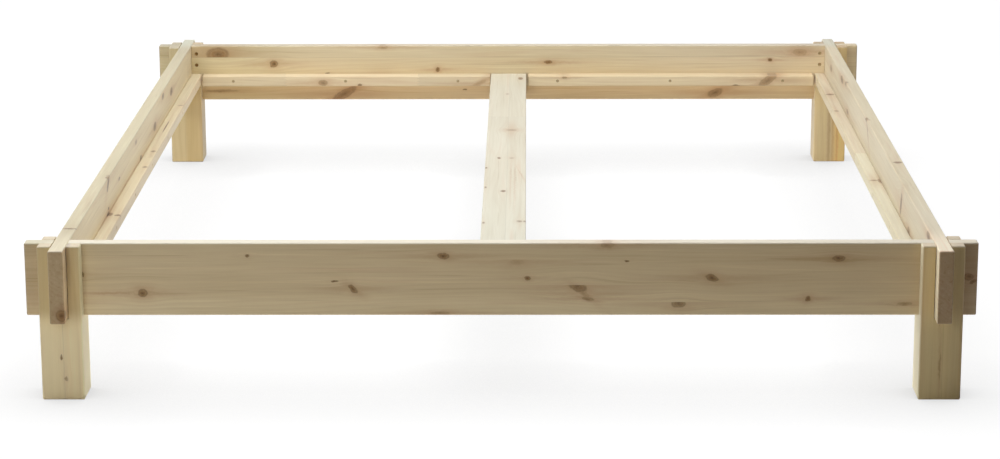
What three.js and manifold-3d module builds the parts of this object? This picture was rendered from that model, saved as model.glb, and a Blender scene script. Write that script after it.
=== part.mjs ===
/*
 * A low double bed frame in solid pine, in millimetres.
 *
 * Four square legs have crossing slots cut down from their tops. The side rails and the end rails drop
 * into the slots, half lapped over each other, and run on past the legs. Cleats screwed round the inside
 * of the rails, and a loose centre beam with a support leg of its own, carry the slats.
 *
 * +X is to the right seen from the foot end, +Y runs to the head end and +Z is up. The origin is on the
 * floor, in the middle of the frame.
 */
import * as THREE from 'three';
import { RoundedBoxGeometry } from 'three/addons/geometries/RoundedBoxGeometry.js';
import { mergeVertices } from 'three/addons/utils/BufferGeometryUtils.js';
import Module from 'manifold-3d';

const wasm = await Module();
wasm.setup();

// The mattress that the frame is made for, and the play that it has in all.
const MATTRESS_WIDTH = 1600;
const MATTRESS_LENGTH = 2000;
const PLAY_ACROSS = 20;
const PLAY_ALONG = 10;

// Legs and rails.
const FRAME_HEIGHT = 298;
const LEG_SIZE = 80;
const RAIL_THICKNESS = 28;
const RAIL_HEIGHT = 140;
const SIDE_RAIL_OVERHANG = 38;
const END_RAIL_OVERHANG = 28;

// Cleats, and the gap that the end cleats leave at the corners.
const CLEAT_DROP = 72;
const CLEAT_HEIGHT = 25;
const END_CLEAT_DEPTH = 40;
const CORNER_GAP = 5;

// The centre beam, a little off the middle in wider notches, and what stands under it.
const BEAM_WIDTH = 90;
const BEAM_THICKNESS = 28;
const BEAM_OFFSET = 2;
const BEAM_PLAY_LEFT = 1;
const BEAM_PLAY_RIGHT = 5;
const BEAM_END_PLAY = 1;
const SUPPORT_LEG_SIZE = 60;
const STUD_DIAMETER = 8;
const STUD_IN_LEG = 34;
const STUD_IN_BEAM = 16;

// Joints: the play of a rail in its leg slot and in its lap, the gap between faces that rest together, and
// how much of a side rail's height is cut away under the lap.
const SLOT_CLEARANCE = 1;
const LAP_CLEARANCE = 0.5;
const SEAT_GAP = 0.3;
const LAP_DEPTH_SHARE = 0.5;

// Rounded edges, and the number of flats that make each round.
const FRAME_EDGE = { radius: 3, flats: 2 };
const CLEAT_EDGE = { radius: 2, flats: 1 };

// Countersunk wood screws. The tip is the pointed end, and sunk is how far the head lies below the wood.
const CORNER_SCREW = { shank: 5, head: 9, rim: 0.8, length: 50, tip: 6, sunk: 1 };
const SIDE_CLEAT_SCREW = { shank: 4, head: 7.5, rim: 0.6, length: 44, tip: 5, sunk: 0.8 };
const END_CLEAT_SCREW = { shank: 4, head: 7.5, rim: 0.6, length: 58, tip: 5, sunk: 0.8 };

// Where the screws are: how many each cleat has, and how far the outer ones are from what ends their row.
const CORNER_SCREW_INSET = 13;
const CORNER_SCREW_DROP = 21;
const CORNER_SCREW_PITCH = 29;
const SIDE_CLEAT_SCREWS = 7;
const SIDE_CLEAT_SCREW_INSET = 145.5;
const END_CLEAT_SCREWS = 3;
const END_CLEAT_SCREW_INSET = 79;
const END_CLEAT_SCREW_FROM_BEAM = 82;
const SEAT_SCREW_PITCH = 44;

// Flats round a screw and the stud, and how far every cut runs past the wood.
const SCREW_SIDES = 8;
const STUD_SIDES = 12;
const CUT_OVERRUN = 10;

// Levels and places that follow from the sizes above.
const half = (size) => size / 2;

const WELL_WIDTH = MATTRESS_WIDTH + PLAY_ACROSS;
const WELL_LENGTH = MATTRESS_LENGTH + PLAY_ALONG;
const SIDE_RAIL_X = half(WELL_WIDTH + RAIL_THICKNESS);
const END_RAIL_Y = half(WELL_LENGTH + RAIL_THICKNESS);
const SIDE_RAIL_LENGTH = 2 * (END_RAIL_Y + half(LEG_SIZE) + SIDE_RAIL_OVERHANG);
const END_RAIL_LENGTH = 2 * (SIDE_RAIL_X + half(LEG_SIZE) + END_RAIL_OVERHANG);
const RAIL_BOTTOM = FRAME_HEIGHT - RAIL_HEIGHT;
const LAP_LEVEL = RAIL_BOTTOM + RAIL_HEIGHT * LAP_DEPTH_SHARE;

const CLEAT_TOP = FRAME_HEIGHT - CLEAT_DROP;
const CLEAT_BOTTOM = CLEAT_TOP - CLEAT_HEIGHT;
const CLEAT_MIDDLE = half(CLEAT_TOP + CLEAT_BOTTOM);
const SIDE_CLEAT_DEPTH = half(LEG_SIZE - RAIL_THICKNESS);
const SIDE_CLEAT_FACE = half(WELL_WIDTH) - SIDE_CLEAT_DEPTH;
const END_CLEAT_FACE = half(WELL_LENGTH) - END_CLEAT_DEPTH;
const END_CLEAT_REACH = SIDE_CLEAT_FACE - CORNER_GAP;

const BEAM_LEFT = BEAM_OFFSET - half(BEAM_WIDTH);
const BEAM_RIGHT = BEAM_OFFSET + half(BEAM_WIDTH);
const BEAM_BOTTOM = CLEAT_TOP - BEAM_THICKNESS;
const SEAT_TOP = BEAM_BOTTOM - SEAT_GAP;
const SEAT_BOTTOM = SEAT_TOP - CLEAT_HEIGHT;

const LEFT = { name: 'left', sign: -1 };
const RIGHT = { name: 'right', sign: 1 };
const FOOT = { name: 'foot', sign: -1 };
const HEAD = { name: 'head', sign: 1 };
const SIDES = [LEFT, RIGHT];
const ENDS = [FOOT, HEAD];

// The finishes: oiled pine in three tones, and zinc-plated steel.
const LEG_PINE = { color: '#b99a6b', roughness: 0.62, metalness: 0 };
const RAIL_PINE = { color: '#cbb085', roughness: 0.6, metalness: 0 };
const SLAT_PINE = { color: '#e2d0ac', roughness: 0.66, metalness: 0 };
const STEEL = { color: '#8d8a82', roughness: 0.4, metalness: 1 };

/**
 * Makes a solid that can be cut from a closed geometry, without the triangles that shrank to a line.
 * @param {THREE.BufferGeometry} geometry a closed geometry with its faces pointing out
 * @returns {object} the solid
 */
function solidFrom(geometry) {
  const bare = geometry.clone();
  bare.deleteAttribute('normal');
  bare.deleteAttribute('uv');
  const merged = mergeVertices(bare);
  const corners = merged.index.array;
  const kept = [];
  for (let first = 0; first < corners.length; first += 3) {
    const [a, b, c] = corners.subarray(first, first + 3);
    if (a !== b && b !== c && c !== a) kept.push(a, b, c);
  }
  const vertProperties = new Float32Array(merged.attributes.position.array);
  return new wasm.Manifold(new wasm.Mesh({ numProp: 3, vertProperties, triVerts: new Uint32Array(kept) }));
}

/**
 * Turns a solid back into a geometry.
 * @param {object} solid a solid made by solidFrom and cuts
 * @returns {THREE.BufferGeometry} its surface
 */
function geometryFrom(solid) {
  const { vertProperties, triVerts, numProp } = solid.getMesh();
  const geometry = new THREE.BufferGeometry();
  geometry.setAttribute('position', new THREE.BufferAttribute(vertProperties, numProp));
  geometry.setIndex(new THREE.BufferAttribute(triVerts, 1));
  geometry.computeVertexNormals();
  return geometry;
}

/**
 * Makes a board or post between two opposite corners, with rounded edges and cuts.
 * @param {string} name the name of the piece
 * @param {object} finish colour, roughness and metalness
 * @param {number[][]} corners two opposite corners, in the frame's own axes
 * @param {object} edge the radius of its edges and their number of flats
 * @param {THREE.BufferGeometry[]} cuts closed shapes to cut away, in the frame's own axes
 * @returns {THREE.Mesh} the piece, at its place
 */
function board(name, finish, corners, edge, cuts = []) {
  const box = new THREE.Box3().setFromPoints(corners.map((corner) => new THREE.Vector3(...corner)));
  const size = box.getSize(new THREE.Vector3());
  const middle = box.getCenter(new THREE.Vector3());
  let solid = solidFrom(new RoundedBoxGeometry(size.x, size.y, size.z, edge.flats, edge.radius));
  for (const cut of cuts) {
    solid = solid.subtract(solidFrom(cut.clone().translate(-middle.x, -middle.y, -middle.z)));
  }
  const mesh = new THREE.Mesh(geometryFrom(solid), new THREE.MeshStandardMaterial(finish));
  mesh.name = name;
  mesh.position.copy(middle);
  return mesh;
}

/**
 * Makes a plain box between two opposite corners, to cut with.
 * @param {number[]} low one corner
 * @param {number[]} high the opposite corner
 * @returns {THREE.BufferGeometry} the box, in the frame's own axes
 */
function boxCut(low, high) {
  const box = new THREE.Box3().setFromPoints([new THREE.Vector3(...low), new THREE.Vector3(...high)]);
  const size = box.getSize(new THREE.Vector3());
  const middle = box.getCenter(new THREE.Vector3());
  return new THREE.BoxGeometry(size.x, size.y, size.z).translate(middle.x, middle.y, middle.z);
}

/**
 * Turns a screw's outline round its axis: head, countersink, shank and tip, going in along +Z.
 * @param {object} type the screw's sizes
 * @param {number} gap how much wider the outline is than the screw, for the hole that it sits in
 * @param {number} mouth how far the head's outline runs out past the wood
 * @returns {THREE.BufferGeometry} the screw, or its hole, from the wood's surface at the origin
 */
function screwShape(type, gap, mouth) {
  const head = half(type.head) + gap;
  const shank = half(type.shank) + gap;
  const coneStart = type.sunk + type.rim;
  const coneEnd = coneStart + head - shank;
  const end = type.sunk + type.length + gap;
  const outline = [
    new THREE.Vector2(0, type.sunk - mouth),
    new THREE.Vector2(head, type.sunk - mouth),
    new THREE.Vector2(head, coneStart),
    new THREE.Vector2(shank, coneEnd),
    new THREE.Vector2(shank, end - type.tip),
    new THREE.Vector2(0, end),
  ];
  return new THREE.LatheGeometry(outline, SCREW_SIDES).rotateX(Math.PI / 2);
}

/**
 * Gives the turn that brings a screw's own axis, +Z, to the way it is driven.
 * @param {object} screw a screw with its direction in `into`
 * @returns {THREE.Quaternion} the turn
 */
function turnOf(screw) {
  return new THREE.Quaternion().setFromUnitVectors(new THREE.Vector3(0, 0, 1), screw.into);
}

/**
 * Makes a screw.
 * @param {object} screw its name, type, place and direction
 * @returns {THREE.Mesh} the screw, at its place
 */
function screwMesh(screw) {
  const geometry = screwShape(screw.type, 0, 0);
  const mesh = new THREE.Mesh(geometry, new THREE.MeshStandardMaterial(STEEL));
  mesh.name = screw.name;
  mesh.position.copy(screw.at);
  mesh.quaternion.copy(turnOf(screw));
  return mesh;
}

/**
 * Gives the holes that the screws need in one piece.
 * @param {string} name the name of the piece
 * @returns {THREE.BufferGeometry[]} one hole for each screw that goes through it
 */
function holesIn(name) {
  return screws
    .filter((screw) => screw.through.includes(name))
    .map((screw) => screwShape(screw.type, SEAT_GAP, CUT_OVERRUN)
      .applyQuaternion(turnOf(screw))
      .translate(screw.at.x, screw.at.y, screw.at.z));
}

/**
 * Lists two screws in each corner, from the end rail's inner face into the leg's post behind it.
 * @returns {object[]} the screws
 */
function cornerScrews() {
  const list = [];
  for (const end of ENDS) {
    for (const side of SIDES) {
      for (const [row, level] of ['upper', 'lower'].entries()) {
        list.push({
          name: `${end.name}_${side.name}_corner_screw_${level}`,
          type: CORNER_SCREW,
          at: new THREE.Vector3(
            side.sign * (half(WELL_WIDTH) - CORNER_SCREW_INSET),
            end.sign * half(WELL_LENGTH),
            FRAME_HEIGHT - CORNER_SCREW_DROP - row * CORNER_SCREW_PITCH,
          ),
          into: new THREE.Vector3(0, end.sign, 0),
          through: [`${end.name}_rail`, `${end.name}_${side.name}_leg`],
        });
      }
    }
  }
  return list;
}

/**
 * Spreads places evenly from the first to the last.
 * @param {number} first the first place
 * @param {number} last the last place
 * @param {number} count how many places there are
 * @returns {number[]} the places, in order
 */
function spread(first, last, count) {
  return Array.from({ length: count }, (_, index) => first + (last - first) * index / (count - 1));
}

/**
 * Lists a row of screws along each side cleat.
 * @returns {object[]} the screws
 */
function sideCleatScrews() {
  const list = [];
  const outermost = half(WELL_LENGTH) - SIDE_CLEAT_SCREW_INSET;
  for (const side of SIDES) {
    for (const [index, along] of spread(-outermost, outermost, SIDE_CLEAT_SCREWS).entries()) {
      list.push({
        name: `${side.name}_cleat_screw_${index + 1}`,
        type: SIDE_CLEAT_SCREW,
        at: new THREE.Vector3(side.sign * SIDE_CLEAT_FACE, along, CLEAT_MIDDLE),
        into: new THREE.Vector3(side.sign, 0, 0),
        through: [`${side.name}_cleat`, `${side.name}_rail`],
      });
    }
  }
  return list;
}

/**
 * Lists a row of screws along each end cleat, from the middle of the frame outwards.
 * @returns {object[]} the screws
 */
function endCleatScrews() {
  const list = [];
  const innermost = half(BEAM_WIDTH) + END_CLEAT_SCREW_FROM_BEAM;
  const outermost = END_CLEAT_REACH - END_CLEAT_SCREW_INSET;
  for (const end of ENDS) {
    for (const side of SIDES) {
      for (const [index, across] of spread(innermost, outermost, END_CLEAT_SCREWS).entries()) {
        list.push({
          name: `${end.name}_${side.name}_cleat_screw_${index + 1}`,
          type: END_CLEAT_SCREW,
          at: new THREE.Vector3(side.sign * across, end.sign * END_CLEAT_FACE, CLEAT_MIDDLE),
          into: new THREE.Vector3(0, end.sign, 0),
          through: [`${end.name}_${side.name}_cleat`, `${end.name}_rail`],
        });
      }
    }
  }
  return list;
}

/**
 * Lists two screws through each beam seat into its end rail.
 * @returns {object[]} the screws
 */
function seatScrews() {
  const list = [];
  for (const end of ENDS) {
    for (const side of SIDES) {
      const across = BEAM_OFFSET + side.sign * half(SEAT_SCREW_PITCH);
      list.push({
        name: `${end.name}_seat_screw_${side.name}`,
        type: END_CLEAT_SCREW,
        at: new THREE.Vector3(across, end.sign * END_CLEAT_FACE, half(SEAT_TOP + SEAT_BOTTOM)),
        into: new THREE.Vector3(0, end.sign, 0),
        through: [`${end.name}_beam_seat`, `${end.name}_rail`],
      });
    }
  }
  return list;
}

const screws = [...cornerScrews(), ...sideCleatScrews(), ...endCleatScrews(), ...seatScrews()];

/**
 * Makes a leg: a square post with a slot each way for the rails. The slots leave four corner posts, and
 * the inner one stops under the cleats, so the mattress has a square corner.
 * @param {object} end FOOT or HEAD
 * @param {object} side LEFT or RIGHT
 * @returns {THREE.Mesh} the leg
 */
function leg(end, side) {
  const x = side.sign * SIDE_RAIL_X;
  const y = end.sign * END_RAIL_Y;
  const reach = half(LEG_SIZE);
  const past = reach + CUT_OVERRUN;
  const slot = half(RAIL_THICKNESS) + SLOT_CLEARANCE;
  const slotFloor = RAIL_BOTTOM - SEAT_GAP;
  const above = FRAME_HEIGHT + CUT_OVERRUN;
  const name = `${end.name}_${side.name}_leg`;
  const cuts = [
    boxCut([x - slot, y - past, slotFloor], [x + slot, y + past, above]),
    boxCut([x - past, y - slot, slotFloor], [x + past, y + slot, above]),
    boxCut([x, y, CLEAT_BOTTOM - SEAT_GAP], [x - side.sign * past, y - end.sign * past, above]),
    ...holesIn(name),
  ];
  const corners = [[x - reach, y - reach, 0], [x + reach, y + reach, FRAME_HEIGHT]];
  return board(name, LEG_PINE, corners, FRAME_EDGE, cuts);
}

/**
 * Makes a side rail, notched from below where it laps over the end rails.
 * @param {object} side LEFT or RIGHT
 * @returns {THREE.Mesh} the rail
 */
function sideRail(side) {
  const x = side.sign * SIDE_RAIL_X;
  const reach = half(RAIL_THICKNESS);
  const notch = reach + LAP_CLEARANCE;
  const name = `${side.name}_rail`;
  const laps = ENDS.map((end) => boxCut(
    [x - reach - CUT_OVERRUN, end.sign * END_RAIL_Y - notch, RAIL_BOTTOM - CUT_OVERRUN],
    [x + reach + CUT_OVERRUN, end.sign * END_RAIL_Y + notch, LAP_LEVEL + half(SEAT_GAP)],
  ));
  const corners = [
    [x - reach, -half(SIDE_RAIL_LENGTH), RAIL_BOTTOM],
    [x + reach, half(SIDE_RAIL_LENGTH), FRAME_HEIGHT],
  ];
  return board(name, RAIL_PINE, corners, FRAME_EDGE, [...laps, ...holesIn(name)]);
}

/**
 * Makes an end rail, notched from above where the side rails lap over it.
 * @param {object} end FOOT or HEAD
 * @returns {THREE.Mesh} the rail
 */
function endRail(end) {
  const y = end.sign * END_RAIL_Y;
  const reach = half(RAIL_THICKNESS);
  const notch = reach + LAP_CLEARANCE;
  const name = `${end.name}_rail`;
  const laps = SIDES.map((side) => boxCut(
    [side.sign * SIDE_RAIL_X - notch, y - reach - CUT_OVERRUN, LAP_LEVEL - half(SEAT_GAP)],
    [side.sign * SIDE_RAIL_X + notch, y + reach + CUT_OVERRUN, FRAME_HEIGHT + CUT_OVERRUN],
  ));
  const corners = [
    [-half(END_RAIL_LENGTH), y - reach, RAIL_BOTTOM],
    [half(END_RAIL_LENGTH), y + reach, FRAME_HEIGHT],
  ];
  return board(name, RAIL_PINE, corners, FRAME_EDGE, [...laps, ...holesIn(name)]);
}

/**
 * Makes the cleat along a side rail, flush with the legs' inner faces and resting on their inner posts.
 * @param {object} side LEFT or RIGHT
 * @returns {THREE.Mesh} the cleat
 */
function sideCleat(side) {
  const name = `${side.name}_cleat`;
  const reach = half(WELL_LENGTH) - SEAT_GAP;
  const corners = [
    [side.sign * (half(WELL_WIDTH) - SEAT_GAP), -reach, CLEAT_BOTTOM],
    [side.sign * SIDE_CLEAT_FACE, reach, CLEAT_TOP],
  ];
  return board(name, SLAT_PINE, corners, CLEAT_EDGE, holesIn(name));
}

/**
 * Makes the cleat on one half of an end rail, from the beam's notch to the gap at the corner.
 * @param {object} end FOOT or HEAD
 * @param {object} side LEFT or RIGHT
 * @returns {THREE.Mesh} the cleat
 */
function endCleat(end, side) {
  const name = `${end.name}_${side.name}_cleat`;
  const outer = side.sign * END_CLEAT_REACH;
  const inner = side === LEFT ? BEAM_LEFT - BEAM_PLAY_LEFT : BEAM_RIGHT + BEAM_PLAY_RIGHT;
  const corners = [
    [outer, end.sign * (half(WELL_LENGTH) - SEAT_GAP), CLEAT_BOTTOM],
    [inner, end.sign * END_CLEAT_FACE, CLEAT_TOP],
  ];
  return board(name, SLAT_PINE, corners, CLEAT_EDGE, holesIn(name));
}

/**
 * Makes the block that carries one end of the beam.
 * @param {object} end FOOT or HEAD
 * @returns {THREE.Mesh} the block
 */
function beamSeat(end) {
  const name = `${end.name}_beam_seat`;
  const corners = [
    [BEAM_LEFT, end.sign * (half(WELL_LENGTH) - SEAT_GAP), SEAT_BOTTOM],
    [BEAM_RIGHT, end.sign * END_CLEAT_FACE, SEAT_TOP],
  ];
  return board(name, SLAT_PINE, corners, CLEAT_EDGE, holesIn(name));
}

/**
 * Makes the round stud that joins the beam and its support leg, or the hole for it.
 * @param {number} gap how much larger the shape is than the stud
 * @returns {THREE.BufferGeometry} the stud, upright across the joint
 */
function studShape(gap) {
  const height = STUD_IN_LEG + STUD_IN_BEAM + gap + gap;
  const radius = half(STUD_DIAMETER) + gap;
  return new THREE.CylinderGeometry(radius, radius, height, STUD_SIDES)
    .rotateX(Math.PI / 2)
    .translate(BEAM_OFFSET, 0, BEAM_BOTTOM + half(STUD_IN_BEAM - STUD_IN_LEG));
}

/**
 * Makes the centre beam with its support leg and the stud between them, which lift out together.
 * @returns {THREE.Group} the three pieces
 */
function beamWithSupport() {
  const reach = half(SUPPORT_LEG_SIZE);
  const end = half(WELL_LENGTH) - BEAM_END_PLAY;
  const beamCorners = [[BEAM_LEFT, -end, BEAM_BOTTOM], [BEAM_RIGHT, end, CLEAT_TOP]];
  const legCorners = [[BEAM_OFFSET - reach, -reach, 0], [BEAM_OFFSET + reach, reach, BEAM_BOTTOM - SEAT_GAP]];
  const hole = studShape(SEAT_GAP);
  const stud = new THREE.Mesh(studShape(0), new THREE.MeshStandardMaterial(STEEL));
  stud.name = 'support_stud';
  const group = new THREE.Group();
  group.add(
    board('centre_beam', SLAT_PINE, beamCorners, CLEAT_EDGE, [hole]),
    board('support_leg', LEG_PINE, legCorners, FRAME_EDGE, [hole]),
    stud,
  );
  return group;
}

const bedFrame = new THREE.Group();
for (const end of ENDS) {
  bedFrame.add(endRail(end), beamSeat(end));
  for (const side of SIDES) bedFrame.add(leg(end, side), endCleat(end, side));
}
for (const side of SIDES) bedFrame.add(sideRail(side), sideCleat(side));
bedFrame.add(beamWithSupport(), ...screws.map(screwMesh));

export default bedFrame;
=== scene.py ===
"""A pine bed frame, dressed for looking at.

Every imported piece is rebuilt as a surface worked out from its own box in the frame, and gets its own wood or
steel. Lengths are in metres, in the frame's axes: +X to the right, +Y to the head end, +Z up.
"""

import logging
import math
from collections.abc import Callable
from dataclasses import dataclass, field
from enum import Enum

import bmesh
import bpy
import numpy as np
from mathutils import Matrix, Vector


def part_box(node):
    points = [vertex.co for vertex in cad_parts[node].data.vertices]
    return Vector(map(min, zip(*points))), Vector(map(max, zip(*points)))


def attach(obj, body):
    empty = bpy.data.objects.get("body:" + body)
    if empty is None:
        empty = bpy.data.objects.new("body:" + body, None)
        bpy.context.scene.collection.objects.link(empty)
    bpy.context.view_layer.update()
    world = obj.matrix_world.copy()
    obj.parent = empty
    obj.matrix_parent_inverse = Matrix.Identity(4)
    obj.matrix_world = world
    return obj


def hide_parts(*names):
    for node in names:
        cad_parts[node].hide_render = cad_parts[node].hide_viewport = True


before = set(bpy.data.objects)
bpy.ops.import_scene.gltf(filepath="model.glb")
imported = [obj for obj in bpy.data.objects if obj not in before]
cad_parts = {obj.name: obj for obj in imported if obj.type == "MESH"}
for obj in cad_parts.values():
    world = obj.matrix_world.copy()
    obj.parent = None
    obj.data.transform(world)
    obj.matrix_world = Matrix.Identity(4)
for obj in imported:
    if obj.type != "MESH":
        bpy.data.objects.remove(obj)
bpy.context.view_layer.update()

WELD = 2e-6
SMOOTH_ANGLE = math.radians(32)
CORNERS = ((1, 1), (-1, 1), (-1, -1), (1, -1))
ORIGIN = (0.0, 0.0, 0.0)
EVEN = (1.0, 1.0, 1.0)
WHITE = (*EVEN, 1.0)
log = logging.getLogger("bed_frame")

Triple = tuple[float, float, float]


class Lay(Enum):
    """How a piece of wood lies: the directions of its length, its width and its thickness."""

    END_RAIL = ((1, 0, 0), (0, 0, 1), (0, -1, 0))
    SIDE_RAIL = ((0, 1, 0), (0, 0, 1), (1, 0, 0))
    FLAT = ((0, 1, 0), (-1, 0, 0), (0, 0, 1))
    UPRIGHT = ((0, 0, 1), (1, 0, 0), (0, 1, 0))

    @property
    def turn(self) -> Matrix:
        """The turn from the piece's own axes to the frame's."""
        return Matrix(self.value).transposed()


class Body(Enum):
    """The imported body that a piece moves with."""

    FRAME = "frame"
    BEAM = "beam"


class Slot(Enum):
    """The names of the finishes."""

    RAIL = "rail_pine"
    LEG = "leg_pine"
    CLEAT = "cleat_pine"
    BEAM = "beam_pine"
    SCREW = "screw_steel"


def quarter_turn(steps: int) -> np.ndarray:
    """Gives the angles of a quarter turn in even steps."""
    return np.linspace(0, math.pi / 2, steps + 1)


def corners(node: str) -> tuple[np.ndarray, np.ndarray]:
    """Gives the low and the high corner of a node's box."""
    low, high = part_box(node)
    return np.array(low), np.array(high)


def linked(name: str, data: bpy.types.ID) -> bpy.types.Object:
    """Makes an object and links it to the scene.

    Args:
        name: its name.
        data: its mesh, lamp or camera.

    Returns:
        The object.
    """
    made = bpy.data.objects.new(name, data)
    bpy.context.scene.collection.objects.link(made)
    return made


class Shell:
    """Gathers grids and polygons and joins them into one closed mesh."""

    def __init__(self) -> None:
        """Starts with nothing in it."""
        self._points: list[np.ndarray] = []
        self._faces: list[tuple[int, ...]] = []
        self._count = 0

    def _keep(self, points: np.ndarray) -> int:
        """Adds points.

        Args:
            points: the points, in any shape that ends in 3.

        Returns:
            The number of the first one.
        """
        start = self._count
        self._points.append(points.reshape(-1, 3))
        self._count += points.size // 3
        return start

    def grid(self, points: np.ndarray, around: bool = False, skip: np.ndarray | None = None) -> None:
        """Joins neighbours in a grid of points into four-sided faces.

        Args:
            points: the grid, rows by columns by 3.
            around: whether the last column joins the first.
            skip: a mask of the cells that stay open.
        """
        rows, columns = points.shape[:2]
        index = self._keep(points) + np.arange(rows * columns).reshape(rows, columns)
        beside = np.roll(index, -1, axis=1)
        if not around:
            index, beside = index[:, :-1], beside[:, :-1]
        cells = np.stack([index[:-1], beside[:-1], beside[1:], index[1:]], axis=-1)
        if skip is not None:
            cells = cells[~skip]
        self._faces.extend(map(tuple, cells.reshape(-1, 4).tolist()))

    def polygon(self, loop: np.ndarray) -> None:
        """Closes one flat loop of points with a single face."""
        start = self._keep(loop)
        self._faces.append(tuple(range(start, start + len(loop))))

    def finish(self, name: str) -> bpy.types.Object:
        """Merges doubles, turns every face outwards and links the object.

        Args:
            name: the object's name.

        Returns:
            The object, at the origin, with its place in its mesh.
        """
        mesh = bpy.data.meshes.new(name)
        mesh.from_pydata(np.concatenate(self._points).tolist(), [], self._faces)
        work = bmesh.new()
        work.from_mesh(mesh)
        bmesh.ops.remove_doubles(work, verts=work.verts, dist=WELD)
        bmesh.ops.dissolve_degenerate(work, dist=WELD, edges=work.edges)
        bmesh.ops.recalc_face_normals(work, faces=work.faces)
        work.to_mesh(mesh)
        work.free()
        mesh.shade_smooth()
        mesh.set_sharp_from_angle(angle=SMOOTH_ANGLE)
        piece = linked(name, mesh)
        weighted = piece.modifiers.new("even_faces", "WEIGHTED_NORMAL")
        weighted.keep_sharp = True
        return piece


@dataclass
class Hole:
    """A countersunk hole in a board's broad face."""

    along: float
    across: float
    side: int
    head: float
    shank: float
    sunk: float = 0.0018
    sides: int = 20
    lip: float = 0.0002
    patch_share: float = 1.45

    @property
    def patch(self) -> float:
        """Half the side of the square patch that the hole sits in."""
        return self.head * self.patch_share

    def cut(self, shell: Shell, place: "Board") -> None:
        """Fills its square patch of the face: corners, mouth, straight wall, cone, bore and floor.

        Ring k is a circle of radius r_k at depth d_k, and the first ring is the square's corner nearest
        to each point of the circle.

        Args:
            shell: the board's shell.
            place: the board, which turns along, across and through into the frame's axes.
        """
        turn = (np.arange(self.sides) + 0.5) * 2 * math.pi / self.sides
        circle = np.stack([np.cos(turn), np.sin(turn)], axis=-1)
        square = np.sign(circle) * self.patch
        cone = self.sunk + self.head - self.shank
        radii = np.array([self.head + self.lip, self.head, self.head, self.shank, self.shank])
        depths = np.array([0, self.lip, self.sunk, cone, cone + self.shank])
        rings = np.concatenate([square[None], circle[None] * radii[:, None, None]])
        depth = np.concatenate([[0.0], depths])
        through = np.broadcast_to((self.side * (place.half[2] - depth))[:, None, None], (*rings.shape[:2], 1))
        middle = np.array([self.along, self.across])
        points = place.placed(np.concatenate([rings + middle, through], axis=-1))
        shell.grid(points, around=True)
        shell.polygon(points[-1])


@dataclass
class Notch:
    """A notch right through a board's thickness, from one edge down to a level."""

    along: float
    half_width: float
    level: float
    from_above: bool

    def clamp(self, across: np.ndarray) -> np.ndarray:
        """Keeps the outline on its own side of the notch's floor."""
        return np.minimum(across, self.level) if self.from_above else np.maximum(across, self.level)

    def cut_away(self, across: np.ndarray) -> np.ndarray:
        """Marks the points of the outline that the notch takes away."""
        return across > self.level - WELD if self.from_above else across < self.level + WELD


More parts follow.
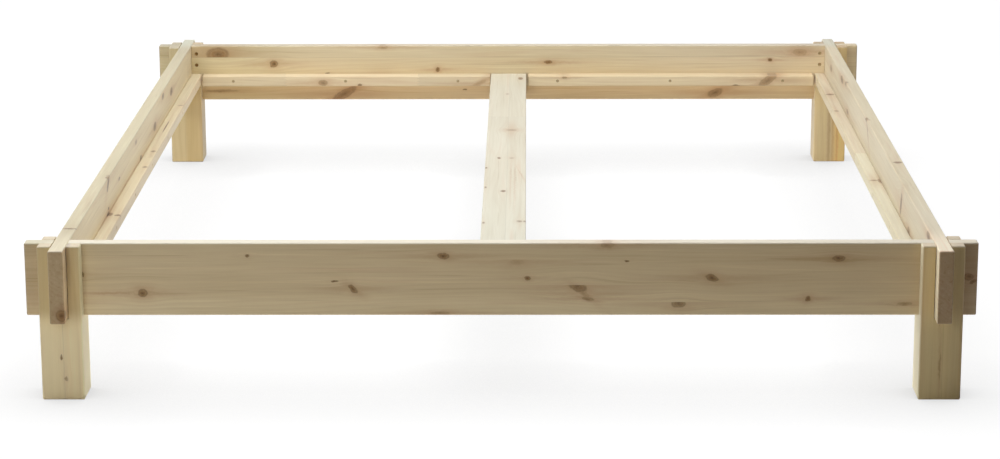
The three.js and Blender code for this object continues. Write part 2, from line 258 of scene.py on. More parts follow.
@dataclass
class Board:
    """A straight piece of wood with rounded edges, notches and holes, in its own axes."""

    low: Vector
    high: Vector
    lay: Lay
    edge: float
    notches: list[Notch] = field(default_factory=list)
    holes: list[Hole] = field(default_factory=list)
    arc_steps: int = 5

    def __post_init__(self) -> None:
        """Works out the middle and the half sizes along, across and through."""
        self.centre = np.array((self.low + self.high) / 2)
        self.axes = np.array(self.lay.value, float)
        self.half = np.abs(self.axes @ np.array((self.high - self.low) / 2))

    def placed(self, points: np.ndarray) -> np.ndarray:
        """Turns points given along, across and through into the frame's axes."""
        return self.centre + points @ self.axes

    def _outline(self) -> tuple[np.ndarray, np.ndarray]:
        """Gives the cross-section: a core rectangle, and the way each of its points moves out from it.

        A point of the outline is core + reach x way, so a reach of nothing gives the flat of the end and a
        reach of the edge radius gives the full section. Levels of notches and holes are points of both
        broad faces.

        Returns:
            The core points and the ways, each one row for a point, across and through.
        """
        _, across, through = self.half
        core = np.array([across - self.edge, through - self.edge])
        levels = [notch.level for notch in self.notches]
        levels += [hole.across + side * hole.patch for hole in self.holes for side in (-1, 1)]
        levels = np.unique(np.round(levels, 6)) if levels else np.empty(0)
        arc = quarter_turn(self.arc_steps)
        points, ways = [], []
        for quarter, signs in enumerate(CORNERS):
            angle = arc + quarter * math.pi / 2
            points.append(np.tile(core * signs, (len(arc), 1)))
            ways.append(np.stack([np.cos(angle), np.sin(angle)], axis=-1))
            if quarter in (0, 2) and len(levels):
                side = 1 if quarter == 0 else -1
                row = levels[::-1] if quarter == 0 else levels
                points.append(np.stack([row, np.full(len(row), side * core[1])], axis=-1))
                ways.append(np.tile([0.0, float(side)], (len(row), 1)))
        return np.concatenate(points), np.concatenate(ways)

    def _stations(self) -> tuple[np.ndarray, np.ndarray]:
        """Gives the places along the board where its outline is drawn, and the reach there.

        Near an end the reach follows a quarter circle: reach = r sin t where along = end - r (1 - cos t).

        Returns:
            The places, in order, and the reach at each.
        """
        length = self.half[0]
        arc = quarter_turn(self.arc_steps)
        start = -length + self.edge * (1 - np.cos(arc))
        inner = [hole.along + side * hole.patch for hole in self.holes for side in (-1, 1)]
        inner += [notch.along + side * notch.half_width for notch in self.notches for side in (-1, 1)]
        inner = np.unique(np.round(inner, 6)) if inner else np.empty(0)
        reach = self.edge * np.sin(arc)
        return (
            np.concatenate([start, inner, -start[::-1]]),
            np.concatenate([reach, np.full(len(inner), self.edge), reach[::-1]]),
        )

    def _hole_cells(self, along: np.ndarray, core: np.ndarray, ways: np.ndarray) -> np.ndarray:
        """Marks the cells of the side's grid that the holes' patches fill.

        Args:
            along: the places along the board where the outline is drawn.
            core: the outline's core points, across and through.
            ways: the way out of each.

        Returns:
            A mask of the cells, places by points.
        """
        middle_along = (along[:-1] + along[1:]) / 2
        middle_across = (core[:, 0] + np.roll(core[:, 0], -1)) / 2
        flat = np.isclose(ways[:, 1], np.roll(ways[:, 1], -1))
        open_cells = np.zeros((len(along) - 1, len(core)), bool)
        for hole in self.holes:
            row = np.abs(middle_along - hole.along) < WELD
            column = (np.abs(middle_across - hole.across) < WELD) & flat & (ways[:, 1] * hole.side > 0.5)
            open_cells |= row[:, None] & column[None]
        return open_cells

    def shell(self) -> Shell:
        """Carries the outline along the board, with its ends, notches and holes.

        Returns:
            The closed shell.
        """
        shell = Shell()
        core, ways = self._outline()
        along, reach = self._stations()
        cuts = sorted(self.notches, key=lambda notch: notch.along)
        bounds = [-self.half[0]]
        for notch in cuts:
            bounds += [notch.along - notch.half_width, notch.along + notch.half_width]
        bounds.append(self.half[0])
        for zone, (start, end) in enumerate(zip(bounds[:-1], bounds[1:])):
            inside = (along > start - WELD) & (along < end + WELD)
            ring = core[None] + reach[inside][:, None, None] * ways[None]
            if zone % 2:
                ring[..., 0] = cuts[zone // 2].clamp(ring[..., 0])
            run = np.broadcast_to(along[inside][:, None, None], (*ring.shape[:2], 1))
            skip = self._hole_cells(along[inside], core, ways)
            shell.grid(self.placed(np.concatenate([run, ring], axis=-1)), around=True, skip=skip)
        for notch in cuts:
            self._walls(shell, notch, core + self.edge * ways)
        for place in (along[0], along[-1]):
            shell.polygon(self.placed(np.column_stack([np.full(len(core), place), core])))
        for hole in self.holes:
            hole.cut(shell, self)
        return shell

    def _walls(self, shell: Shell, notch: Notch, section: np.ndarray) -> None:
        """Closes both walls of a notch: the outline above its floor, and the floor's line back.

        Args:
            shell: the board's shell.
            notch: the notch.
            section: the full outline, across and through.
        """
        gone = notch.cut_away(section[:, 0])
        first = int(np.flatnonzero(gone & ~np.roll(gone, 1))[0])
        upper = np.roll(section, -first, axis=0)[: gone.sum()]
        floor = np.column_stack([notch.clamp(upper[:, 0]), upper[:, 1]])[::-1][1:-1]
        loop = np.concatenate([upper, floor])
        for side in (-1, 1):
            place = notch.along + side * notch.half_width
            shell.polygon(self.placed(np.column_stack([np.full(len(loop), place), loop])))


@dataclass
class Post:
    """A leg: a square post whose two crossing slots leave four corner posts, the inner one cut short."""

    low: Vector
    high: Vector
    inward: tuple[int, int]
    edge: float = 0.003
    slot: float = 0.015
    slot_floor: float = 0.1577
    inner_top: float = 0.2007
    arc_steps: int = 5

    def _quarter(self, sign_x: int, sign_y: int) -> tuple[np.ndarray, np.ndarray]:
        """Gives one quarter of the outline, from slot to slot.

        Args:
            sign_x: the quarter's side, left or right.
            sign_y: its side towards the foot or the head.

        Returns:
            Its core points and the ways out of them.
        """
        core = float(self.high.x - self.low.x) / 2 - self.edge
        arc = quarter_turn(self.arc_steps)
        ways = np.concatenate([[[1, 0]], np.stack([np.cos(arc), np.sin(arc)], axis=-1), [[0, 1]]])
        points = np.concatenate([[[core, self.slot]], np.full((len(arc), 2), core), [[self.slot, core]]])
        signs = np.array([sign_x, sign_y])
        if sign_x * sign_y < 0:
            points, ways = points[::-1], ways[::-1]
        return points * signs, ways * signs

    def shell(self) -> Shell:
        """Carries the outline up to the slots' floor, then each quarter of it up its own corner post.

        Near the foot and the top the outline's reach follows a quarter circle, as on a board.

        Returns:
            The closed shell.
        """
        shell = Shell()
        centre = (self.low + self.high) / 2
        middle = np.array([centre.x, centre.y])
        arc = quarter_turn(self.arc_steps)
        rise = self.edge * (1 - np.cos(arc))
        reach = self.edge * np.sin(arc)

        def placed(section: np.ndarray, heights: np.ndarray) -> np.ndarray:
            """Sets sections of the post at their heights in the frame."""
            tall = np.broadcast_to(heights[:, None, None], (*section.shape[:2], 1))
            return np.concatenate([section + middle, tall], axis=-1)

        quarters = [self._quarter(*signs) for signs in CORNERS]
        core = np.concatenate([points for points, _ in quarters])
        ways = np.concatenate([way for _, way in quarters])
        heights = np.concatenate([self.low.z + rise, [self.slot_floor]])
        grown = np.concatenate([reach, [self.edge]])
        body = placed(core + grown[:, None, None] * ways, heights)
        shell.grid(body, around=True)
        shell.polygon(body[0])
        self._slot_floor(shell, placed)
        for signs, (points, way) in zip(CORNERS, quarters):
            points = np.concatenate([points, [np.array(signs) * self.slot]])
            way = np.concatenate([way, [[0, 0]]])
            if signs == self.inward:
                heights, grown = np.array([self.slot_floor, self.inner_top]), np.full(2, self.edge)
            else:
                heights = np.concatenate([[self.slot_floor], self.high.z - rise[::-1]])
                grown = np.concatenate([[self.edge], reach[::-1]])
            column = placed(points + grown[:, None, None] * way, heights)
            shell.grid(column, around=True)
            shell.polygon(column[-1])
        return shell

    def _slot_floor(self, shell: Shell, placed: Callable[[np.ndarray, np.ndarray], np.ndarray]) -> None:
        """Lays the cross-shaped floor of the slots as a square and four arms.

        Args:
            shell: the leg's shell.
            placed: sets sections of the post at their heights.
        """
        far = float(self.high.x - self.low.x) / 2
        near = self.slot
        square = np.array([[-near, -near], [near, -near], [near, near], [-near, near]])
        arm = np.array([[near, -near], [far, -near], [far, near], [near, near]])
        level = np.full(1, self.slot_floor)
        shell.polygon(placed(square[None], level)[0])
        for quarter in range(4):
            angle = quarter * math.pi / 2
            turn = np.array([[math.cos(angle), math.sin(angle)], [-math.sin(angle), math.cos(angle)]])
            shell.polygon(placed((arm @ turn)[None], level)[0])


@dataclass
class Turned:
    """A turned steel piece: a radius that depends on the place along its axis and on the angle round it."""

    head_end: np.ndarray
    drive: np.ndarray
    length: float
    angles: int = 16
    thread_rows: int = 4
    ridge_slope: float = 4.0
    taper: float = 0.8

    def rings(self, along: np.ndarray, radii: np.ndarray) -> np.ndarray:
        """Gives points at axis place s and angle a: head_end + s drive + r(s, a) (cos a, sin a).

        Args:
            along: the places along the axis, one for each row.
            radii: the radius, rows by angles.

        Returns:
            The grid of points.
        """
        angle = np.arange(self.angles) * 2 * math.pi / self.angles
        first = np.cross(self.drive, (0.0, 0.0, 1.0) if abs(self.drive[2]) < 0.5 else (1.0, 0.0, 0.0))
        second = np.cross(self.drive, first)
        round_it = np.cos(angle)[:, None] * first + np.sin(angle)[:, None] * second
        axis = self.head_end + along.reshape(-1, 1) * self.drive
        return axis[:, None] + radii[..., None] * round_it[None]

    def threaded(self, start: float, end: float, core: float, crest: float, pitch: float,
                 point: float = 0.0) -> tuple[np.ndarray, np.ndarray]:
        """Works out a thread: a ridge that climbs one pitch for each turn, over a core that may taper.

        The radius is core + (crest - core) times a triangle wave of s / pitch - a / 2 pi, narrowed by the
        share of the point that is left.

        Args:
            start: where the thread starts along the axis.
            end: where it ends.
            core: the radius between ridges.
            crest: the radius on a ridge.
            pitch: the rise for a turn.
            point: the length over which it tapers to a tip.

        Returns:
            The places and the radii, rows by angles.
        """
        rows = max(self.thread_rows, int((end - start) / pitch * self.thread_rows))
        along = np.linspace(start, end, rows)
        turn = np.arange(self.angles) / self.angles
        phase = np.mod(along[:, None] / pitch - turn[None], 1.0)
        ridge = np.clip(1 - np.abs(phase - 0.5) * self.ridge_slope, 0, 1)
        left = np.clip((end - along) / point, 0, 1)[:, None] ** self.taper if point else 1.0
        return along, (core + (crest - core) * ridge) * left


@dataclass
class WoodScrew(Turned):
    """A countersunk wood screw with a cross recess, a plain shank and a thread that runs to its tip.

    The shares of the recess, of an arm's half width and slope and of its reach and slope, are parts of the
    head's radius. The core's and the neck's are parts of the shank's, and the point's of the length.
    """

    head: float = 0.0045
    shank: float = 0.0025
    rim: float = 0.0006
    rim_round: float = 0.3
    thread_share: float = 0.6
    pitch: float = 0.0026
    recess_depth: float = 0.0018
    recess_arm: tuple[float, float] = (0.24, 0.1)
    recess_reach: tuple[float, float] = (0.62, 0.3)
    face_share: float = 0.97
    neck_share: float = 0.94
    core_share: float = 0.7
    point_share: float = 0.12
    face_rings: int = 8

    def _face(self) -> np.ndarray:
        """Gives the head's face with its recess, ring by ring.

        The recess's depth is a product of two ramps: one over the distance to the nearer arm's middle, one
        over the distance from the screw's axis.

        Returns:
            The grid of points.
        """
        angle = np.arange(self.angles) * 2 * math.pi / self.angles
        spokes = np.linspace(0, 1, self.face_rings)[:, None] * self.head * self.face_share
        one, two = np.abs(spokes * np.cos(angle)), np.abs(spokes * np.sin(angle))
        (half, slope), (far, fall) = self.recess_arm, self.recess_reach
        arm = np.clip((self.head * half - np.minimum(one, two)) / (self.head * slope), 0, 1)
        reach = np.clip((self.head * far - np.maximum(one, two)) / (self.head * fall), 0, 1)
        flat = self.rings(np.zeros(len(spokes)), np.broadcast_to(spokes, one.shape))
        return flat + (self.recess_depth * arm * reach)[..., None] * self.drive

    def shell(self) -> Shell:
        """Joins the recessed head, its rim and cone, the shank and the thread.

        Returns:
            The closed shell.
        """
        shell = Shell()
        shell.grid(self._face(), around=True)
        cone = self.rim + self.head - self.shank
        neck = self.shank * self.neck_share
        plain = self.length * (1 - self.thread_share)
        along = np.array([0, self.rim * self.rim_round, self.rim, cone, plain])
        radii = np.array([self.head * self.face_share, self.head, self.head, neck, neck])
        thread, ridge = self.threaded(
            along[-1], self.length, self.shank * self.core_share, self.shank, self.pitch,
            point=self.length * self.point_share,
        )
        every = np.concatenate([along, thread])
        radius = np.concatenate([np.repeat(radii[:, None], self.angles, axis=1), ridge])
        shell.grid(self.rings(every, radius), around=True)
        return shell


@dataclass
class Stud(Turned):
    """A threaded rod with chamfered ends."""

    radius: float = 0.004
    pitch: float = 0.00125
    chamfer: float = 0.0008
    core_share: float = 0.86
    end_share: float = 0.8

    def shell(self) -> Shell:
        """Joins the thread and its two flat ends.

        Returns:
            The closed shell.
        """
        shell = Shell()
        thread, ridge = self.threaded(
            self.chamfer, self.length - self.chamfer, self.radius * self.core_share, self.radius, self.pitch
        )
        flat = np.full((1, self.angles), self.radius * self.end_share)
        points = self.rings(
            np.concatenate([[0.0], thread, [self.length]]), np.concatenate([flat, ridge, flat])
        )
        shell.grid(points, around=True)
        shell.polygon(points[0])
        shell.polygon(points[-1])
        return shell


class Wire:
    """An output in a node tree. A sum that is written with it adds the node that works it out."""

    def __init__(self, graph: "Graph", socket: bpy.types.NodeSocket) -> None:
        """Holds one output of a node in a graph."""
        self.graph, self.socket = graph, socket

    @staticmethod
    def _is_number(value: "Value") -> bool:
        """Whether a value is one number and not a vector or a colour."""
        return value.socket.type == "VALUE" if isinstance(value, Wire) else isinstance(value, (int, float))

    def _sum(self, operation: str, *values: "Value") -> "Wire":
        """Adds the node of a sum, one for vectors if any of its values is a vector or a colour.

        Args:
            operation: the sum.
            values: what goes into it, in order.

        Returns:
            The result.
        """
        numbers = all(map(self._is_number, values))
        return (self.graph.math if numbers else self.graph.vector)(operation, *values)

    def __add__(self, other: "Value") -> "Wire":
        """Adds another value."""
        return self._sum("ADD", self, other)

    def __sub__(self, other: "Value") -> "Wire":
        """Takes another value away."""
        return self._sum("SUBTRACT", self, other)

    def __mul__(self, other: "Value") -> "Wire":
        """Multiplies by another value, each part by its own if both are vectors.

        A vector and a number take a node for just that, because the renderer has only so much room for the
        values of one material, and a number that is turned into a vector first takes three places.

        Args:
            other: the other value.

        Returns:
            The product.
        """
        if self._is_number(self) == self._is_number(other):
            return self._sum("MULTIPLY", self, other)
        vector, number = (other, self) if self._is_number(self) else (self, other)
        return self.graph.out("ShaderNodeVectorMath", 0, {0: vector, "Scale": number}, operation="SCALE")

    def __truediv__(self, other: "Value") -> "Wire":
        """Divides by another value, each part by its own if both are vectors."""
        return self._sum("DIVIDE", self, other)

    def __abs__(self) -> "Wire":
        """Drops the sign."""
        return self._sum("ABSOLUTE", self)


Value = Wire | float | tuple[float, ...]
Inputs = dict[str | int, Value]


class Graph:
    """Puts nodes into a tree, so that each line of a material reads as one step of its formula."""

    def __init__(self, tree: bpy.types.NodeTree) -> None:
        """Works on one tree."""
        self.tree = tree

    def fill(self, node: bpy.types.Node, inputs: Inputs) -> None:
        """Links outputs to a node's sockets, or sets the sockets' own values.

        Args:
            node: the node.
            inputs: a value or another node's output for each named or numbered socket.
        """
        for name, value in inputs.items():
            if isinstance(value, Wire):
                self.tree.links.new(value.socket, node.inputs[name])
            else:
                node.inputs[name].default_value = value

    def add(self, kind: str, inputs: Inputs | None = None, **settings: object) -> bpy.types.Node:
        """Adds a node.

        Args:
            kind: the node's type.
            inputs: a value or another node's output for each named or numbered socket.
            settings: the node's own settings.

        Returns:
            The node.
        """
        node = self.tree.nodes.new(kind)
        for name, value in settings.items():
            setattr(node, name, value)
        self.fill(node, inputs or {})
        return node

    def out(self, kind: str, output: str | int, inputs: Inputs | None = None,
            **settings: object) -> Wire:
        """Adds a node and gives one of its outputs.

        Args:
            kind: the node's type.
            output: the name or the number of the output.
            inputs: a value or another node's output for each named or numbered socket.
            settings: the node's own settings.

        Returns:
            The output.
        """
        return Wire(self, self.add(kind, inputs, **settings).outputs[output])

    def math(self, operation: str, *values: Value, clamp: bool = False) -> Wire:
        """Does a sum on numbers.

        Args:
            operation: the sum.
            values: the numbers, in order.
            clamp: whether the result is kept between 0 and 1.

        Returns:
            The result.
        """
        return self.out("ShaderNodeMath", 0, dict(enumerate(values)), operation=operation, use_clamp=clamp)

    def vector(self, operation: str, *values: Value) -> Wire:
        """Does a sum on vectors, where a plain number stands for three that are alike.

        Args:
            operation: the sum.
            values: the vectors, in order.

        Returns:
            The result, a number for a length or a dot product.
        """
        inputs = {
            place: (value,) * 3 if isinstance(value, (int, float)) else value
            for place, value in enumerate(values)
        }
        result = "Value" if operation in ("LENGTH", "DOT_PRODUCT") else "Vector"
        return self.out("ShaderNodeVectorMath", result, inputs, operation=operation)

    def parts(self, vector: Value) -> tuple[Wire, ...]:
        """Splits a vector into its three numbers."""
        node = self.add("ShaderNodeSeparateXYZ", {0: vector})
        return tuple(Wire(self, socket) for socket in node.outputs)

    def joined(self, one: Value, two: Value, three: Value) -> Wire:
        """Makes a vector of three numbers."""
        return self.out("ShaderNodeCombineXYZ", 0, {0: one, 1: two, 2: three})

    def ramp(self, value: Value, low: float, high: float, start: float = 0.0, end: float = 1.0) -> Wire:
        """Goes smoothly from start to end as a value goes from low to high.

        Args:
            value: the value.
            low: where the ramp starts.
            high: where it ends.
            start: what it gives before low.
            end: what it gives past high.

        Returns:
            The result.
        """
        inputs = {"Value": value, "From Min": low, "From Max": high, "To Min": start, "To Max": end}
        return self.out("ShaderNodeMapRange", 0, inputs, interpolation_type="SMOOTHSTEP")

    def noise(self, point: Wire, scale: float, detail: float = 2.0, rough: float = 0.5,
              stretch: Triple | None = None, output: str = "Fac") -> Wire:
        """Adds a noise.

        Args:
            point: where it is looked up.
            scale: its scale.
            detail: how many finer noises lie over it.
            rough: how much they count.
            stretch: what the point is multiplied by first, if anything.
            output: its number, or its colour for three of them.

        Returns:
            The noise.
        """
        looked_up = point * stretch if stretch else point
        inputs = {"Vector": looked_up, "Scale": scale, "Detail": detail, "Roughness": rough}
        return self.out("ShaderNodeTexNoise", output, inputs)

    def tint(self, share: Value, under: Value, over: Value, way: str = "MIX") -> Wire:
        """Lays one colour over another.

        Args:
            share: how much of it shows.
            under: the colour below.
            over: the colour on top.
            way: how the two mix.

        Returns:
            The colour.
        """
        return self.out("ShaderNodeMix", 2, {0: share, 6: under, 7: over}, data_type="RGBA", blend_type=way)


class Effect:
    """A shader effect: a node group that is built once and placed in each material with its own values."""

    title = ""
    takes: dict[str, Value] = {}
    gives: dict[str, str] = {}
    _built: dict[str, bpy.types.NodeTree] = {}

    def place(self, graph: Graph, **values: Value) -> dict[str, Wire]:
        """Places the group in a material.

        Args:
            graph: the material's graph.
            values: a value or an output for each input, by its name with _ for a space.

        Returns:
            The group's outputs by their names.
        """
        if self.title not in self._built:
            self._built[self.title] = self._build()
        node = graph.add("ShaderNodeGroup", node_tree=self._built[self.title])
        graph.fill(node, {name.replace("_", " "): value for name, value in values.items()})
        return {socket.name: Wire(graph, socket) for socket in node.outputs}

    def _build(self) -> bpy.types.NodeTree:
        """Makes the group's sockets and draws what lies between them.

        Returns:
            The group.
        """
        tree = bpy.data.node_groups.new(self.title, "ShaderNodeTree")
        for name, value in self.takes.items():
            kind = "Float" if isinstance(value, float) else "Vector" if len(value) == 3 else "Color"
            socket = tree.interface.new_socket(name, in_out="INPUT", socket_type=f"NodeSocket{kind}")
            socket.default_value = value
        for name, kind in self.gives.items():
            tree.interface.new_socket(name, in_out="OUTPUT", socket_type=f"NodeSocket{kind}")
        graph = Graph(tree)
        sockets = graph.add("NodeGroupInput").outputs
        made = self.draw(graph, {name: Wire(graph, sockets[name]) for name in self.takes})
        graph.add("NodeGroupOutput", made)
        return tree

    def draw(self, graph: Graph, given: dict[str, Wire]) -> dict[str, Wire]:
        """Draws the effect.

        Args:
            graph: the group's graph.
            given: the group's inputs by their names.

        Returns:
            What goes into each of the group's outputs.
        """
        raise NotImplementedError


class Staves(Effect):
    """Glued staves: the wood changes at each glue line, and the line itself shows faintly."""

    title = "glued_staves"
    takes = {"Point": ORIGIN, "Place": 0.0, "Width": 1.0, "Contrast": 0.5, "Seed": 0.0}
    gives = {"Point": "Vector", "Tone": "Float", "Line": "Float"}
    step = (1.37, 0.113, 0.071)
    line_edge = (0.0002, 0.0008, 1.0, 0.0)

    def draw(self, graph: Graph, given: dict[str, Wire]) -> dict[str, Wire]:
        """Numbers the staves across the board: stave = floor((across - place) / width).

        Args:
            graph: the group's graph.
            given: the group's inputs by their names.

        Returns:
            The fibres' point in this stave, its tone and the glue line's mask.
        """
        _, across, _ = graph.parts(given["Point"])
        ratio = (across - given["Place"]) / given["Width"]
        stave = graph.math("FLOOR", ratio) + given["Seed"]
        chance = graph.out("ShaderNodeTexWhiteNoise", "Value", {"W": stave}, noise_dimensions="1D")
        off = abs(ratio - graph.math("ROUND", ratio))
        return {
            "Point": given["Point"] + stave * self.step,
            "Tone": (chance - 0.5) * given["Contrast"],
            "Line": graph.ramp(off * given["Width"], *self.line_edge),
        }


class FingerJoint(Effect):
    """A finger joint: beyond a zigzag line across the board the wood is another piece."""

    title = "finger_joint"
    takes = {"Point": ORIGIN, "Own": ORIGIN, "Place": 0.0, "Change": 0.1, "Tone": 0.0, "Line": 0.0}
    gives = {"Point": "Vector", "Tone": "Float", "Line": "Float"}
    finger = 0.0034
    steepness = 2.6
    jump = (0.305, 0.0185, 0.0415)
    line_edge = (0.0002, 0.0009, 0.8, 0.0)

    def draw(self, graph: Graph, given: dict[str, Wire]) -> dict[str, Wire]:
        """Draws the joint where along = place + steepness x a triangle wave across, one finger high.

        Args:
            graph: the group's graph.
            given: the group's inputs by their names.

        Returns:
            The fibres' point and the tone on this side of the joint, and the mask of all lines so far.
        """
        along, across, _ = graph.parts(given["Own"])
        past = along - given["Place"] - graph.math("PINGPONG", across, self.finger) * self.steepness
        beyond = graph.math("GREATER_THAN", past, 0.0)
        line = graph.ramp(abs(past), *self.line_edge)
        return {
            "Point": given["Point"] + beyond * self.jump,
            "Tone": given["Tone"] + beyond * given["Change"],
            "Line": graph.math("MAXIMUM", line, given["Line"]),
        }


class KnotMark(Effect):
    """A knot that the fibres part round: a core, a dark middle and a reddish surround with tails."""

    title = "knot"
    takes = {
        "Point": ORIGIN, "Own": ORIGIN, "Jitter": ORIGIN, "Place": ORIGIN, "Size": (0.01, 0.01, 0.1),
        "Slant": 0.0, "Dark": 0.5, "Surround": 0.5, "Above": -1.0, "Below": 1.0, "Core": 0.0, "Middle": 0.0,
        "Halo": 0.0,
    }
    gives = {"Point": "Vector", "Core": "Float", "Middle": "Float", "Halo": "Float"}
    shake = (0.009, 0.005, 0.0)
    rings, ring_depth = 16.0, 0.12
    core_edge = (0.55, 1.15, 1.0, 0.0)
    rim_place, rim_edge = 0.8, (0.03, 0.25, 0.45, 0.0)
    middle_edge = (0.05, 0.7, 1.0, 0.0)
    halo_oval, halo_power = (0.36, 0.55, 1.0), -1.3
    tail_oval, tail_length, tail_share = (0.12, 1.15, 1.0), 0.015, 0.7
    push_oval, push_share = (0.28, 0.5, 0.6), -0.85

    def draw(self, graph: Graph, given: dict[str, Wire]) -> dict[str, Wire]:
        """Measures d, the distance from the knot's middle over its size, and marks core, middle and surround.

        The surround is exp(-1.3 d^2) of a wider oval, with a long thin one for the tails. The fibres' point
        moves away from the knot across the board by exp(-d^2), so that their lines close up on both of its
        sides. A glue line above or below cuts the whole knot off straight.

        Args:
            graph: the group's graph.
            given: the group's inputs by their names.

        Returns:
            The fibres' point, and the masks of all cores, middles and surrounds so far.
        """
        off = given["Own"] + given["Jitter"] * self.shake - given["Place"]
        along, across, through = graph.parts(off)
        local = graph.joined(along, along * given["Slant"] + across, through) / given["Size"]
        distance = graph.vector("LENGTH", local)
        level = graph.parts(given["Own"])[1]
        kept = graph.math("GREATER_THAN", level, given["Above"])
        kept = kept * graph.math("LESS_THAN", level, given["Below"])
        dark, light = given["Dark"] * kept, given["Surround"] * kept
        year = graph.math("SINE", distance * self.rings) * self.ring_depth + (1 - self.ring_depth)
        core = graph.ramp(distance, *self.core_edge) * dark * year
        rim = graph.ramp(abs(distance - self.rim_place), *self.rim_edge)
        middle = graph.math("MAXIMUM", graph.ramp(distance, *self.middle_edge), rim) * dark
        long, wide, deep = graph.parts(given["Size"])
        short = off / graph.joined(graph.math("MINIMUM", long, self.tail_length), wide, deep)
        tails = self._fade(graph, short, self.tail_oval) * self.tail_share
        halo = self._fade(graph, local, self.halo_oval, self.halo_power)
        halo = graph.math("MAXIMUM", halo, tails) * light
        push = self._fade(graph, off / given["Size"], self.push_oval)
        marks = {"Core": core, "Middle": middle, "Halo": halo}
        return {
            "Point": given["Point"] + graph.joined(0.0, across * push * self.push_share, 0.0),
            **{name: graph.math("MAXIMUM", mark, given[name]) for name, mark in marks.items()},
        }

    def _fade(self, graph: Graph, local: Wire, oval: Triple, power: float = -1.0) -> Wire:
        """Gives exp(power d^2) for the distance d of a local point in an oval.

        Args:
            graph: the group's graph.
            local: the point.
            oval: how much narrower than the knot the oval is in each direction.
            power: how fast it fades.

        Returns:
            The mask.
        """
        reach = local * oval
        return graph.math("EXPONENT", graph.vector("DOT_PRODUCT", reach, reach) * power)


